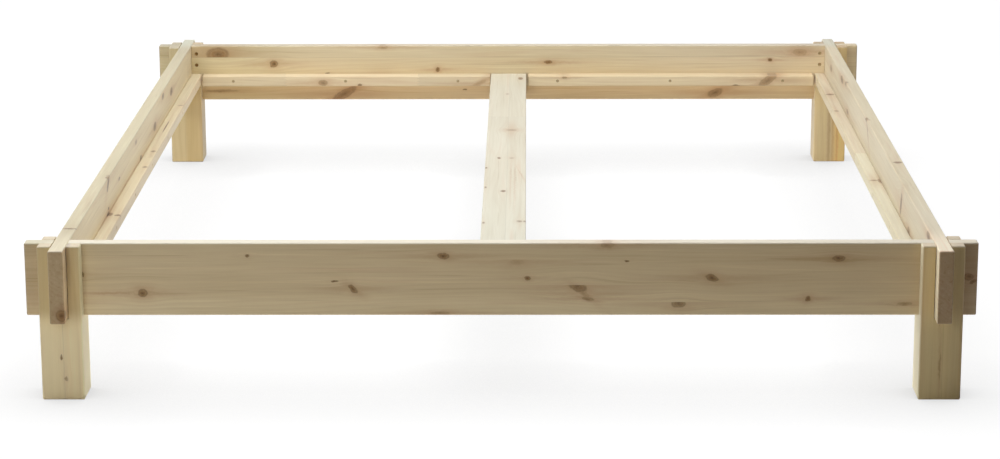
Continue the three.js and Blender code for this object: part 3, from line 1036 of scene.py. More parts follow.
class PineGrain(Effect):
    """Pine wood as a solid: growth rings round a wandering pith, fibres, a warm heart, knots and joints.

    Each noise is its scale, detail, roughness and stretch, and each edge is the values where a ramp starts
    and ends, with what it gives there where that isn't 0 and 1.
    """

    title = "pine_grain"
    takes = {
        "Point": ORIGIN, "Own": ORIGIN, "Pith": (0.0, 0.02, 0.07), "Ring Width": 0.0036, "Half Length": 1.0,
        "Early": (0.7, 0.55, 0.34, 1.0), "Late": (0.58, 0.41, 0.22, 1.0), "Heart": (0.55, 0.33, 0.17, 1.0),
        "Knot": (0.26, 0.15, 0.08, 1.0), "Dark": (0.06, 0.035, 0.02, 1.0), "Heart Share": 0.3,
        "Ring Contrast": 0.6, "Streaks": 0.3, "Change": ORIGIN, "Line": 0.0, "Core": 0.0, "Middle": 0.0,
        "Halo": 0.0, "Roughness": 0.45,
    }
    gives = {"Color": "Color", "Roughness": "Float", "Height": "Float"}
    wander, wander_by = (1.0, 2.0, 0.45, (1.5, 5.0, 5.0)), 0.07
    uneven, uneven_by = (1.0, 2.0, 0.5, (2.0, 40.0, 40.0)), 1.6
    strength, strength_edge = (1.0, 1.0, 0.5, (1.1, 14.0, 14.0)), (0.32, 0.68, 0.35, 1.25)
    fibre, fibre_by = (1.0, 3.0, 0.6, (14.0, 700.0, 700.0)), 0.14
    streak, streak_edge = (1.0, 3.0, 0.55, (1.6, 62.0, 62.0)), (0.5, 0.7)
    cloud, cloud_by, cloud_edge = (1.0, 2.0, 0.5, (3.2, 18.0, 18.0)), 0.22, (0.45, 0.65)
    thin, thin_by = (1.0, 2.0, 0.6, (3.0, 170.0, 170.0)), 0.28
    thin_dark, thin_light = (0.41, 0.3), (0.6, 0.7, 0.0, 1.5)
    late_rise, late_stop = (0.3, 0.88), (0.9, 1.0, 1.0, 0.0)
    end_edge, end_late, end_by = (0.0004, 0.0026, 1.0, 0.0), 0.7, 0.75
    end_color = (0.66, 0.58, 0.54, 1.0)
    warmth = (0.8, 1.0, 1.35)
    halo_by, line_by = 0.7, -0.12
    patches, core_edge, middle_edge = (260.0, 2.0, 0.5), (0.3, 0.7, 0.8, 1.0), (0.35, 0.6, 0.7, 0.95)
    rough_fibre, rough_end = 0.2, 0.2
    high_fibre, high_late, line_groove, knot_groove = 0.55, 0.35, 0.6, 0.5

    def draw(self, graph: Graph, given: dict[str, Wire]) -> dict[str, Wire]:
        """Takes the distance from the pith over the ring width; its fraction is the place in the year.

        Latewood comes up slowly towards the end of each year and stops sharply. Everything else is laid
        over that: fibres, streaks of heartwood, glue lines, knots, and darker wood at the sawn ends.

        Args:
            graph: the group's graph.
            given: the group's inputs by their names.

        Returns:
            The wood's colour, roughness and height.
        """
        point, own, streaks, line = (given[name] for name in ("Point", "Own", "Streaks", "Line"))
        moved = point + (graph.noise(point, *self.wander, output="Color") - 0.5) * self.wander_by
        years = graph.vector("LENGTH", (moved - given["Pith"]) * (0.0, 1.0, 1.0)) / given["Ring Width"]
        year = graph.math("FRACT", graph.noise(point, *self.uneven) * self.uneven_by + years)
        late = graph.ramp(year, *self.late_rise) * graph.ramp(year, *self.late_stop)
        late = late * graph.ramp(graph.noise(point, *self.strength), *self.strength_edge)
        end = graph.ramp(given["Half Length"] - abs(graph.parts(own)[0]), *self.end_edge)
        late = graph.math("MULTIPLY", late * given["Ring Contrast"], end * self.end_late + 1.0, clamp=True)

        fibre, streak, thin, cloud = (
            graph.noise(point, *noise) for noise in (self.fibre, self.streak, self.thin, self.cloud)
        )
        heart = graph.ramp(streak, *self.streak_edge) * graph.ramp(cloud, *self.cloud_edge)
        halo = given["Halo"] * self.halo_by
        heart = graph.math("MAXIMUM", heart * given["Heart Share"], halo, clamp=True)
        lines = graph.ramp(thin, *self.thin_dark) - graph.ramp(thin, *self.thin_light)
        off = (fibre - 0.5) * self.fibre_by + (streak - 0.5) * streaks + (cloud - 0.5) * self.cloud_by
        off = off + lines * streaks * self.thin_by
        shade = (off * self.warmth + 1.0 + given["Change"]) * (line * self.line_by + 1.0)

        color = graph.tint(heart, graph.tint(late, given["Early"], given["Late"]), given["Heart"]) * shade
        color = graph.tint(end * self.end_by, color, self.end_color, "MULTIPLY")
        patchy = graph.noise(own, *self.patches)
        color = graph.tint(given["Core"] * graph.ramp(patchy, *self.core_edge), color, given["Knot"])
        color = graph.tint(given["Middle"] * graph.ramp(patchy, *self.middle_edge), color, given["Dark"])
        return {
            "Color": color,
            "Roughness": (fibre - 0.5) * self.rough_fibre + given["Roughness"] + end * self.rough_end,
            "Height": fibre * self.high_fibre + late * self.high_late - line * self.line_groove
                      - given["Middle"] * self.knot_groove,
        }


class SteelWear(Effect):
    """Zinc-plated steel: a mottled grey with fine turning lines and brighter rubbed places."""

    title = "plated_steel"
    takes = {
        "Point": ORIGIN, "Plate": (0.6, 0.6, 0.58, 1.0), "Dull": (0.3, 0.29, 0.27, 1.0), "Roughness": 0.35,
    }
    gives = {"Color": "Color", "Roughness": "Float", "Height": "Float"}
    mottle, fine = (900.0, 3.0, 0.6), (4200.0, 2.0, 0.5)
    dull_edge, dull_rough, fine_by = (0.4, 0.66), 0.22, 0.4

    def draw(self, graph: Graph, given: dict[str, Wire]) -> dict[str, Wire]:
        """Lays the dull colour over the plate where a fine noise is high, and roughens it there.

        Args:
            graph: the group's graph.
            given: the group's inputs by their names.

        Returns:
            The steel's colour, roughness and height.
        """
        mottle = graph.noise(given["Point"], *self.mottle)
        dull = graph.ramp(mottle, *self.dull_edge)
        return {
            "Color": graph.tint(dull, given["Plate"], given["Dull"]),
            "Roughness": dull * self.dull_rough + given["Roughness"],
            "Height": graph.noise(given["Point"], *self.fine) * self.fine_by + mottle,
        }


@dataclass(frozen=True)
class Knot:
    """A knot or a dark mark: its place along and across the board, its half sizes and its looks."""

    along: float
    across: float
    long: float
    wide: float
    dark: float = 0.7
    surround: float = 0.5
    slant: float = 0.0
    through: float = 0.0
    deep: float = 0.1
    above: float = -1.0
    below: float = 1.0


class Way(Enum):
    """A direction in a piece's own axes, by its place in a vector."""

    ALONG = 0
    ACROSS = 1
    THROUGH = 2


@dataclass(frozen=True)
class Span:
    """A smooth step from nothing at one place to all at another, in one of a piece's directions."""

    way: Way
    start: float
    end: float

    def share(self, graph: Graph, ways: tuple[Wire, ...]) -> Wire:
        """Draws the step over the piece's own coordinates."""
        return graph.ramp(ways[self.way.value], self.start, self.end)


@dataclass(frozen=True)
class Fade:
    """A slow change in the colour of a piece over a span, which another span can hold back. Many fades paint
    light and shade: sheen on tops, floor bounce, and shadows beside the rails' ends.
    """

    where: Span
    change: Triple
    also: Span | None = None


@dataclass(frozen=True)
class Timber:
    """What is particular to one piece of wood."""

    seed: float
    pith: tuple[float, float] = (0.02, 0.07)
    glue_line: float = 0.5
    stave: float = 1.0
    knots: tuple[Knot, ...] = ()
    finger_joints: tuple[tuple[float, float], ...] = ()
    fades: tuple[Fade, ...] = ()
    tint: Triple = EVEN


@dataclass(frozen=True)
class Finish:
    """What every finish has: its slot, its roughness and the height of its relief."""

    slot: Slot
    roughness: float
    relief: float

    def _start(self, name: str) -> tuple[bpy.types.Material, Graph]:
        """Makes a material with only its shader.

        Args:
            name: its name.

        Returns:
            The material and its graph.
        """
        material = bpy.data.materials.new(name)
        material.use_nodes = True
        return material, Graph(material.node_tree)

    def _cover(self, graph: Graph, effect: dict[str, Wire], **uniform: float) -> None:
        """Wires an effect's colour, roughness and height into the shader.

        Args:
            graph: the material's graph.
            effect: the effect's outputs by their names.
            uniform: the shader's even values, by their names with _ for a space.
        """
        bump = graph.out("ShaderNodeBump", "Normal", {"Height": effect["Height"], "Distance": self.relief})
        graph.fill(graph.tree.nodes["Principled BSDF"], {
            **{name.replace("_", " "): value for name, value in uniform.items()},
            "Base Color": effect["Color"], "Roughness": effect["Roughness"], "Normal": bump,
        })


@dataclass(frozen=True)
class PineFinish(Finish):
    """A pine finish: its colours, its rings and its sheen."""

    roughness: float = 0.5
    relief: float = 0.00012
    early: Triple = (0.73, 0.565, 0.34)
    late: Triple = (0.61, 0.425, 0.22)
    heart: Triple = (0.5, 0.27, 0.12)
    knot: Triple = (0.3, 0.158, 0.048)
    dark: Triple = (0.1, 0.049, 0.011)
    ring_width: float = 0.008
    ring_contrast: float = 0.18
    streaks: float = 0.28
    heart_share: float = 0.3
    stave_contrast: float = 0.06
    specular: float = 0.3
    sheen: float = 0.2
    sheen_roughness: float = 0.5
    coat: float = 0.08
    coat_roughness: float = 0.35
    seed_step: float = 3.1
    stave_step: float = 7.0
    jitter_scale: float = 90.0

    def _own(self, graph: Graph, board: Board | Post, lay: Lay) -> Wire:
        """Gives the place along, across and through a piece, from its middle.

        Args:
            graph: the material's graph.
            board: the piece.
            lay: how it lies.

        Returns:
            The place as a vector.
        """
        inputs = {
            "Vector": graph.out("ShaderNodeTexCoord", "Object"),
            "Location": tuple((board.low + board.high) / 2),
            "Rotation": tuple(lay.turn.to_euler("XYZ")),
        }
        return graph.out("ShaderNodeMapping", 0, inputs, vector_type="TEXTURE")

    def _change(self, graph: Graph, own: Wire, tone: Wire, timber: Timber) -> Wire:
        """Adds up a piece's fades over the tone of its staves.

        Args:
            graph: the material's graph.
            own: the place in the piece.
            tone: the tone of its staves.
            timber: what is particular to it.

        Returns:
            What is added to the factor of each colour.
        """
        ways = graph.parts(own)
        change = graph.joined(tone, tone, tone)
        for fade in timber.fades:
            share = fade.where.share(graph, ways)
            if fade.also:
                share = share * fade.also.share(graph, ways)
            change = change + share * fade.change
        return change

    def _marks(self, graph: Graph, own: Wire, point: Wire, knots: tuple[Knot, ...]) -> dict[str, Value]:
        """Places a piece's knots one after another.

        Args:
            graph: the material's graph.
            own: the place in the piece.
            point: the fibres' point.
            knots: the knots.

        Returns:
            The fibres' point as the knots push it, and the masks of cores, middles and surrounds.
        """
        marks = {"Point": point, "Core": 0.0, "Middle": 0.0, "Halo": 0.0}
        if knots:
            jitter = graph.noise(own, self.jitter_scale, output="Color") - 0.5
        for knot in knots:
            marks = KnotMark().place(
                graph, Own=own, Jitter=jitter, Place=(knot.along, knot.across, knot.through),
                Size=(knot.long, knot.wide, knot.deep), Slant=knot.slant, Dark=knot.dark,
                Surround=knot.surround, Above=knot.above, Below=knot.below, **marks,
            )
        return marks

    def material(self, name: str, board: Board | Post, lay: Lay, timber: Timber) -> bpy.types.Material:
        """Makes the wood of one piece.

        Args:
            name: the material's name.
            board: the piece, for its middle and its length.
            lay: how it lies.
            timber: what is particular to it.

        Returns:
            The material.
        """
        material, graph = self._start(name)
        own = self._own(graph, board, lay)
        laid = Staves().place(
            graph, Point=own + (timber.seed * self.seed_step, 0.0, 0.0), Place=timber.glue_line,
            Width=timber.stave, Contrast=self.stave_contrast, Seed=timber.seed * self.stave_step,
        )
        for place, change in timber.finger_joints:
            laid = FingerJoint().place(graph, Own=own, Place=place, Change=change, **laid)
        colors = {
            key: (*(part * tint for part, tint in zip(color, tinting)), 1.0)
            for key, color, tinting in (
                ("Early", self.early, timber.tint), ("Late", self.late, timber.tint),
                ("Heart", self.heart, EVEN), ("Knot", self.knot, EVEN), ("Dark", self.dark, EVEN),
            )
        }
        marks = self._marks(graph, own, laid["Point"], timber.knots)
        grain = PineGrain().place(
            graph, Own=own, Pith=(0.0, *timber.pith), Ring_Width=self.ring_width,
            Half_Length=abs((board.high - board.low).dot(Vector(lay.value[0]))) / 2,
            Heart_Share=self.heart_share, Ring_Contrast=self.ring_contrast, Streaks=self.streaks,
            Change=self._change(graph, own, laid["Tone"], timber), Line=laid["Line"],
            Roughness=self.roughness, **colors, **marks,
        )
        self._cover(
            graph, grain, Specular_IOR_Level=self.specular, Sheen_Weight=self.sheen,
            Sheen_Roughness=self.sheen_roughness, Coat_Weight=self.coat, Coat_Roughness=self.coat_roughness,
        )
        return material


@dataclass(frozen=True)
class SteelFinish(Finish):
    """A plated steel finish."""

    slot: Slot = Slot.SCREW
    roughness: float = 0.34
    relief: float = 0.00003
    plate: Triple = (0.6, 0.47, 0.28)
    dull: Triple = (0.33, 0.235, 0.12)

    def material(self, name: str) -> bpy.types.Material:
        """Makes the steel of the screws.

        Args:
            name: the material's name.

        Returns:
            The material.
        """
        material, graph = self._start(name)
        steel = SteelWear().place(
            graph, Point=graph.out("ShaderNodeTexCoord", "Object"), Plate=(*self.plate, 1.0),
            Dull=(*self.dull, 1.0), Roughness=self.roughness,
        )
        self._cover(graph, steel, Metallic=1.0)
        return material


RAIL = PineFinish(Slot.RAIL)
CLEAT = PineFinish(Slot.CLEAT, early=(0.74, 0.585, 0.36), late=(0.62, 0.44, 0.235))
LEG = PineFinish(
    Slot.LEG, early=(0.72, 0.565, 0.315), late=(0.6, 0.43, 0.205), ring_width=0.013, ring_contrast=0.15,
    streaks=0.15,
)
BEAM = PineFinish(Slot.BEAM, early=(0.75, 0.67, 0.51), late=(0.64, 0.53, 0.37), heart=(0.55, 0.34, 0.18))
STEEL = SteelFinish()
# A darker, browner copy of the plated steel for the left corner screws: painted shade, standing in for the
# shade in their recesses.
SHADOWED_STEEL = SteelFinish(plate=(0.36, 0.22, 0.09), dull=(0.2, 0.115, 0.04))
RAIL_TOP = Span(Way.ACROSS, 0.0665, 0.0695)
# Painted highlight: lifts the posts' tops to a pale cream, cancelling most of the end grain's darkening and
# painting in the strong light from above.
LEG_TOP_HIGHLIGHT = Fade(Span(Way.ALONG, 0.146, 0.1485), (0.53, 0.83, 1.7))
# Spans of a leg, of an end rail, of a side rail and of a side cleat that more than one fade uses.
LEG_ABOVE = Span(Way.ALONG, 0.02, 0.05)
LEG_BELOW = Span(Way.ALONG, 0.03, -0.01)
SLOT_HEIGHT = Span(Way.ALONG, 0.0, 0.14)
LEFT_END = Span(Way.ALONG, -0.81, -0.87)
RIGHT_END = Span(Way.ALONG, 0.81, 0.87)
RIGHT_HALF = Span(Way.ALONG, 0.2, 0.5)
UNDER_CLEAT = Span(Way.ACROSS, -0.03, -0.038)
FRONT_FACE = Span(Way.ALONG, -1.088, -1.096)
PAST_LEG = Span(Way.ALONG, -1.056, -1.06)
FOOT_STRETCH = Span(Way.ALONG, -0.9, -1.05)
HEAD_STRETCH = Span(Way.ALONG, 0.95, 1.04)
LEFT_INSIDE = Span(Way.THROUGH, 0.01, 0.0135)
CLEAT_TOP = Span(Way.ACROSS, 0.0105, 0.0125)
LEFT_CLEAT_INSIDE = Span(Way.THROUGH, 0.0105, 0.0128)

LEG_WOOD = {
    "foot_left": Timber(
        0.3, pith=(0.055, -0.03), glue_line=0.003, stave=0.2, tint=(0.97, 0.97, 0.9),
        fades=(
            # Painted light: the highlight on the post tops, and floor bounce that pales the leg's lower part.
            LEG_TOP_HIGHLIGHT, Fade(LEG_BELOW, (0.42, 0.51, 0.76)),
            # Painted light on the leg's inward side face.
            Fade(Span(Way.ACROSS, 0.0365, 0.0395), (0.26, 0.4, 0.55)),
            Fade(Span(Way.ACROSS, -0.01, -0.03), (-0.04, -0.05, -0.06), Span(Way.ALONG, 0.01, 0.05)),
            Fade(Span(Way.ACROSS, -0.002, 0.002), (-0.06, -0.08, -0.1), Span(Way.ACROSS, 0.014, 0.008)),
            # Painted shadow, cast by the side rail's end onto the post right of the slot. The next fade takes
            # it off the post on the left.
            Fade(Span(Way.ACROSS, 0.026, 0.016), (-0.3, -0.35, -0.32), SLOT_HEIGHT),
            Fade(Span(Way.ACROSS, 0.005, -0.005), (0.3, 0.35, 0.32), SLOT_HEIGHT),
        ),
        knots=(
            Knot(-0.066, -0.002, 0.0065, 0.0022, 1.0, 0.3), Knot(-0.107, 0.006, 0.0045, 0.004, 0.6, 0.4),
        ),
    ),
    "foot_right": Timber(
        1.7, pith=(-0.05, -0.045), glue_line=0.004, stave=0.2, tint=(1.03, 1.01, 0.925),
        fades=(
            # Painted light: the highlight on the post tops, and a little floor bounce on the lower part.
            LEG_TOP_HIGHLIGHT, Fade(LEG_BELOW, (0.05, 0.07, 0.07)),
            # Painted shadow, cast by the side rail's end over the leg's right half.
            Fade(Span(Way.ACROSS, 0.0, 0.03), (-0.19, -0.22, -0.25)),
            # Painted light on the leg's inward side face.
            Fade(Span(Way.ACROSS, -0.0365, -0.0395), (0.34, 0.57, 1.07)),
        ),
        knots=(
            Knot(-0.085, -0.001, 0.03, 0.002, 0.35, 0.8), Knot(0.02, -0.004, 0.03, 0.0015, 0.3, 0.4),
        ),
    ),
    "head_left": Timber(
        # The lighter tint partly stands in for light that this leg's faces lack.
        2.9, pith=(0.06, -0.03), glue_line=-0.004, stave=0.2, tint=(1.09, 1.1, 1.08),
        fades=(
            # Painted highlight on the post tops.
            Fade(LEG_TOP_HIGHLIGHT.where, (0.23, 0.4, 0.83)),
            Fade(Span(Way.ACROSS, -0.004, 0.004), (-0.08, -0.12, -0.2)),
            # Painted shade on the outer post beside the rails.
            Fade(LEG_ABOVE, (-0.19, -0.15, -0.1), Span(Way.ACROSS, 0.004, -0.004)),
        ),
    ),
    "head_right": Timber(
        # The much lighter tint partly stands in for light that this leg's faces lack.
        4.1, pith=(-0.03, -0.06), glue_line=0.012, stave=0.2, tint=(1.25, 1.26, 1.24),
        fades=(
            # The first fade is a painted highlight on the post tops.
            Fade(LEG_TOP_HIGHLIGHT.where, (0.0, 0.09, 0.38)), Fade(Span(Way.ACROSS, 0.0, 0.02), (0.23, 0.09, -0.2)),
            # Painted shade on the outer post beside the rails.
            Fade(LEG_ABOVE, (-0.17, -0.1, 0.05), Span(Way.ACROSS, 0.0, 0.02)),
        ),
        knots=(
            Knot(-0.05, -0.002, 0.1, 0.0025, 0.0, 0.75), Knot(-0.05, 0.008, 0.1, 0.0022, 0.0, 0.75),
            Knot(-0.07, 0.019, 0.08, 0.002, 0.0, 0.75),
        ),
    ),
}
RAIL_WOOD = {
    "foot": Timber(
        0.9, pith=(0.02, -0.075), tint=(1.05, 1.07, 1.05),
        fades=(
            # Painted light: floor bounce pales the lower part of the face.
            Fade(Span(Way.ACROSS, 0.0, -0.06), (0.13, 0.16, 0.2)),
            # The face's upper part a little darker, and painted sheen on the top face.
            Fade(Span(Way.ACROSS, 0.03, 0.066), (-0.04, -0.04, -0.04)), Fade(RAIL_TOP, (0.23, 0.43, 0.93)),
            Fade(Span(Way.ALONG, 0.1, 0.7), (-0.01, -0.03, -0.05)),
            # Painted light on the top at the right end.
            Fade(RIGHT_END, (0.3, 0.33, 0.3), RAIL_TOP),
            Fade(LEFT_END, (-0.18, -0.22, -0.26)),
            Fade(LEFT_END, (-0.07, -0.09, -0.31), RAIL_TOP),
            Fade(Span(Way.ACROSS, -0.0064, -0.0058), (0.05, 0.05, 0.04), Span(Way.ACROSS, -0.0042, -0.0048)),
            Fade(Span(Way.ALONG, -0.3, -0.6), (0.01, 0.02, 0.03)),
            # Painted shadow, cast by the right side rail's end over the rail's right end.
            Fade(RIGHT_END, (-0.27, -0.32, -0.32)),
        ),
        knots=(
            Knot(-0.783, 0.01, 0.004, 0.005, 0.8, 0.3), Knot(-0.672, -0.027, 0.01, 0.009, 0.9, 0.9),
            Knot(-0.474, 0.046, 0.0045, 0.004, 1.0, 0.4), Knot(-0.312, -0.004, 0.0075, 0.0018, 1.0, 0.1),
            Knot(-0.277, -0.019, 0.009, 0.0075, 0.9, 0.8, slant=0.5),
            Knot(-0.107, 0.045, 0.012, 0.0065, 0.9, 0.8, slant=0.15),
            Knot(-0.114, -0.066, 0.02, 0.004, 0.3, 0.8),
            Knot(0.031, 0.033, 0.014, 0.006, 0.12, 0.7, below=0.038),
            Knot(0.051, 0.002, 0.006, 0.0045, 1.0, 0.6),
            Knot(0.143, -0.013, 0.018, 0.012, 0.75, 0.9, slant=0.3, below=-0.0115),
            Knot(0.155, -0.027, 0.012, 0.006, 0.2, 0.9, slant=0.7),
            Knot(0.163, -0.038, 0.012, 0.004, 0.5, 0.9, slant=0.2),
            Knot(-0.735, -0.0265, 0.03, 0.0022, 0.0, 0.9), Knot(0.199, 0.066, 0.014, 0.006, 0.3, 0.9),
            Knot(0.236, 0.035, 0.0045, 0.0022, 1.0, 0.2),
            Knot(0.334, -0.047, 0.014, 0.009, 0.7, 0.7, below=-0.0445),
            Knot(0.396, 0.002, 0.013, 0.0075, 0.9, 0.8, slant=0.2),
            Knot(0.576, -0.038, 0.006, 0.0055, 1.0, 1.0), Knot(0.632, 0.04, 0.014, 0.0065, 0.9, 0.8),
            Knot(0.758, -0.048, 0.015, 0.004, 0.4, 0.6), Knot(0.876, 0.004, 0.01, 0.0075, 0.8, 0.8),
            Knot(0.884, -0.005, 0.007, 0.004, 0.9, 0.5, slant=-0.5),
        ),
    ),
    "head": Timber(
        2.2, pith=(-0.01, -0.06), glue_line=0.04, stave=0.2, tint=(1.07, 1.165, 1.265),
        fades=(
            Fade(UNDER_CLEAT, (0.02, -0.1, -0.23)),
            # Painted sheen on the top face, and painted light over the right half, also under the cleat there.
            Fade(RAIL_TOP, (-0.05, -0.02, 0.09)), Fade(RIGHT_HALF, (0.05, 0.06, 0.12)),
            Fade(RIGHT_HALF, (0.05, 0.05, 0.0), UNDER_CLEAT),
            Fade(Span(Way.ALONG, -0.5, -0.7), (-0.07, -0.05, -0.09)),
            Fade(LEFT_END, (-0.15, -0.16, -0.17)),
            Fade(RIGHT_END, (0.07, 0.02, -0.12)),
        ),
        knots=(
            Knot(-0.742, 0.048, 0.031, 0.019, 0.75, 1.0, above=0.04),
            Knot(-0.599, 0.023, 0.011, 0.01, 0.9, 0.8), Knot(-0.461, -0.001, 0.007, 0.002, 0.8, 0.2),
            Knot(-0.319, 0.066, 0.014, 0.005, 0.3, 0.8), Knot(-0.179, 0.008, 0.006, 0.0065, 1.0, 0.9),
            Knot(0.103, 0.027, 0.0125, 0.0045, 0.9, 1.0), Knot(0.67, 0.032, 0.0055, 0.0045, 1.0, 1.0),
            Knot(0.746, 0.052, 0.02, 0.01, 0.25, 1.0), Knot(-0.734, -0.047, 0.045, 0.004, 0.4, 0.6),
            Knot(-0.421, -0.056, 0.034, 0.013, 0.6, 1.0, slant=-0.5),
            Knot(-0.11, -0.044, 0.006, 0.002, 0.9, 0.3),
            Knot(0.531, -0.053, 0.021, 0.011, 0.6, 1.0, slant=-0.3),
        ),
    ),
    "left": Timber(
        3.6, pith=(0.03, -0.09), tint=(1.06, 1.13, 1.13), finger_joints=((-0.923, 0.05), (0.904, -0.05)),
        fades=(
            # Painted light on the top face: darker over the middle, lighter towards both ends.
            Fade(RAIL_TOP, (-0.29, -0.24, -0.165)),
            Fade(FOOT_STRETCH, (0.246, 0.263, 0.368), RAIL_TOP),
            Fade(HEAD_STRETCH, (0.139, 0.25, 0.477), RAIL_TOP),
            Fade(Span(Way.ALONG, -0.3, -0.9), (0.07, 0.08, 0.09)),
            # Painted light on the inner face, lifting the shade over its lower part next to the cleat.
            Fade(LEFT_INSIDE, (0.03, 0.04, 0.06)),
            Fade(Span(Way.ACROSS, 0.014, -0.002), (0.12, 0.13, 0.15), LEFT_INSIDE),
            Fade(FRONT_FACE, (-0.232, -0.286, -0.338)),
            Fade(FRONT_FACE, (0.05, 0.06, 0.08), Span(Way.ACROSS, -0.005, 0.01)),
            # Just past the front leg, this tones the painted light on the inner side down to a warmer tan.
            Fade(Span(Way.THROUGH, 0.0128, 0.0138), (-0.02, -0.15, -0.28), PAST_LEG),
        ),
        knots=(
            Knot(0.578, 0.037, 0.026, 0.01, 1.0, 0.8),
            Knot(0.418, 0.057, 0.022, 0.008, 0.7, 0.6, through=0.014, deep=0.012),
            Knot(0.256, 0.019, 0.026, 0.011, 1.0, 0.8),
            Knot(-0.064, 0.052, 0.014, 0.006, 0.5, 0.5, through=0.014, deep=0.01),
            Knot(-0.336, 0.032, 0.014, 0.0035, 0.9, 0.5),
            Knot(-0.495, 0.06, 0.022, 0.011, 1.0, 0.5, slant=-0.54, through=0.014, deep=0.01),
            Knot(-0.468, 0.0695, 0.005, 0.003, 0.4, 0.4, through=0.011, deep=0.006),
            Knot(-0.15, 0.0, 0.12, 0.002, 0.0, 0.8),
            Knot(-0.921, 0.0695, 0.007, 0.003, 0.8, 0.3, deep=0.018),
            Knot(0.004, 0.001, 0.018, 0.007, 0.8, 0.5),
            Knot(-0.502, 0.008, 0.009, 0.003, 0.9, 0.5, through=0.014, deep=0.006),
            Knot(-0.512, -0.002, 0.018, 0.005, 1.0, 1.0, through=0.014, deep=0.006),
            Knot(-1.097, -0.053, 0.02, 0.012, 0.75, 1.0, through=0.0085, deep=0.0115),
        ),
    ),
    "right": Timber(
        5.3, pith=(-0.02, -0.08), tint=(0.975, 1.095, 1.25),
        fades=(
            Fade(FRONT_FACE, (-0.19, -0.306, -0.41)),
            # Painted light on the top face, lighter towards both ends.
            Fade(Span(Way.ALONG, -0.5, -0.85), (0.11, 0.13, 0.2), RAIL_TOP),
            Fade(FOOT_STRETCH, (0.39, 0.366, 0.45), RAIL_TOP),
            Fade(Span(Way.ALONG, 0.65, 0.95), (0.11, 0.09, 0.09), RAIL_TOP),
            Fade(HEAD_STRETCH, (-0.03, 0.097, 0.277), RAIL_TOP),
            # Painted highlight on the inner side just past the front leg.
            Fade(Span(Way.THROUGH, -0.0128, -0.0138), (0.5, 0.55, 0.6), PAST_LEG),
        ),
        knots=(
            Knot(0.85, 0.04, 0.022, 0.009, 0.6, 0.6),
            Knot(0.599, 0.06, 0.03, 0.009, 0.9, 0.9, through=-0.014, deep=0.01),
            Knot(0.516, 0.066, 0.014, 0.006, 0.8, 0.6, through=-0.014, deep=0.01),
            Knot(0.463, 0.009, 0.02, 0.007, 0.6, 0.8, through=-0.014, deep=0.01),
            Knot(0.066, 0.056, 0.03, 0.006, 0.6, 0.6, slant=-0.9, through=-0.014, deep=0.01),
            Knot(0.094, 0.068, 0.014, 0.005, 0.9, 0.3, through=-0.013, deep=0.006),
            Knot(-0.542, 0.026, 0.014, 0.021, 1.0, 0.7, slant=1.0, through=-0.014, deep=0.01),
            Knot(-0.668, 0.0, 0.02, 0.009, 0.8, 0.9),
            Knot(-0.946, 0.06, 0.026, 0.009, 0.9, 0.8, through=-0.014, deep=0.008),
            Knot(-0.353, 0.0695, 0.01, 0.003, 1.0, 0.5, through=0.001, deep=0.011),
        ),
    ),
}
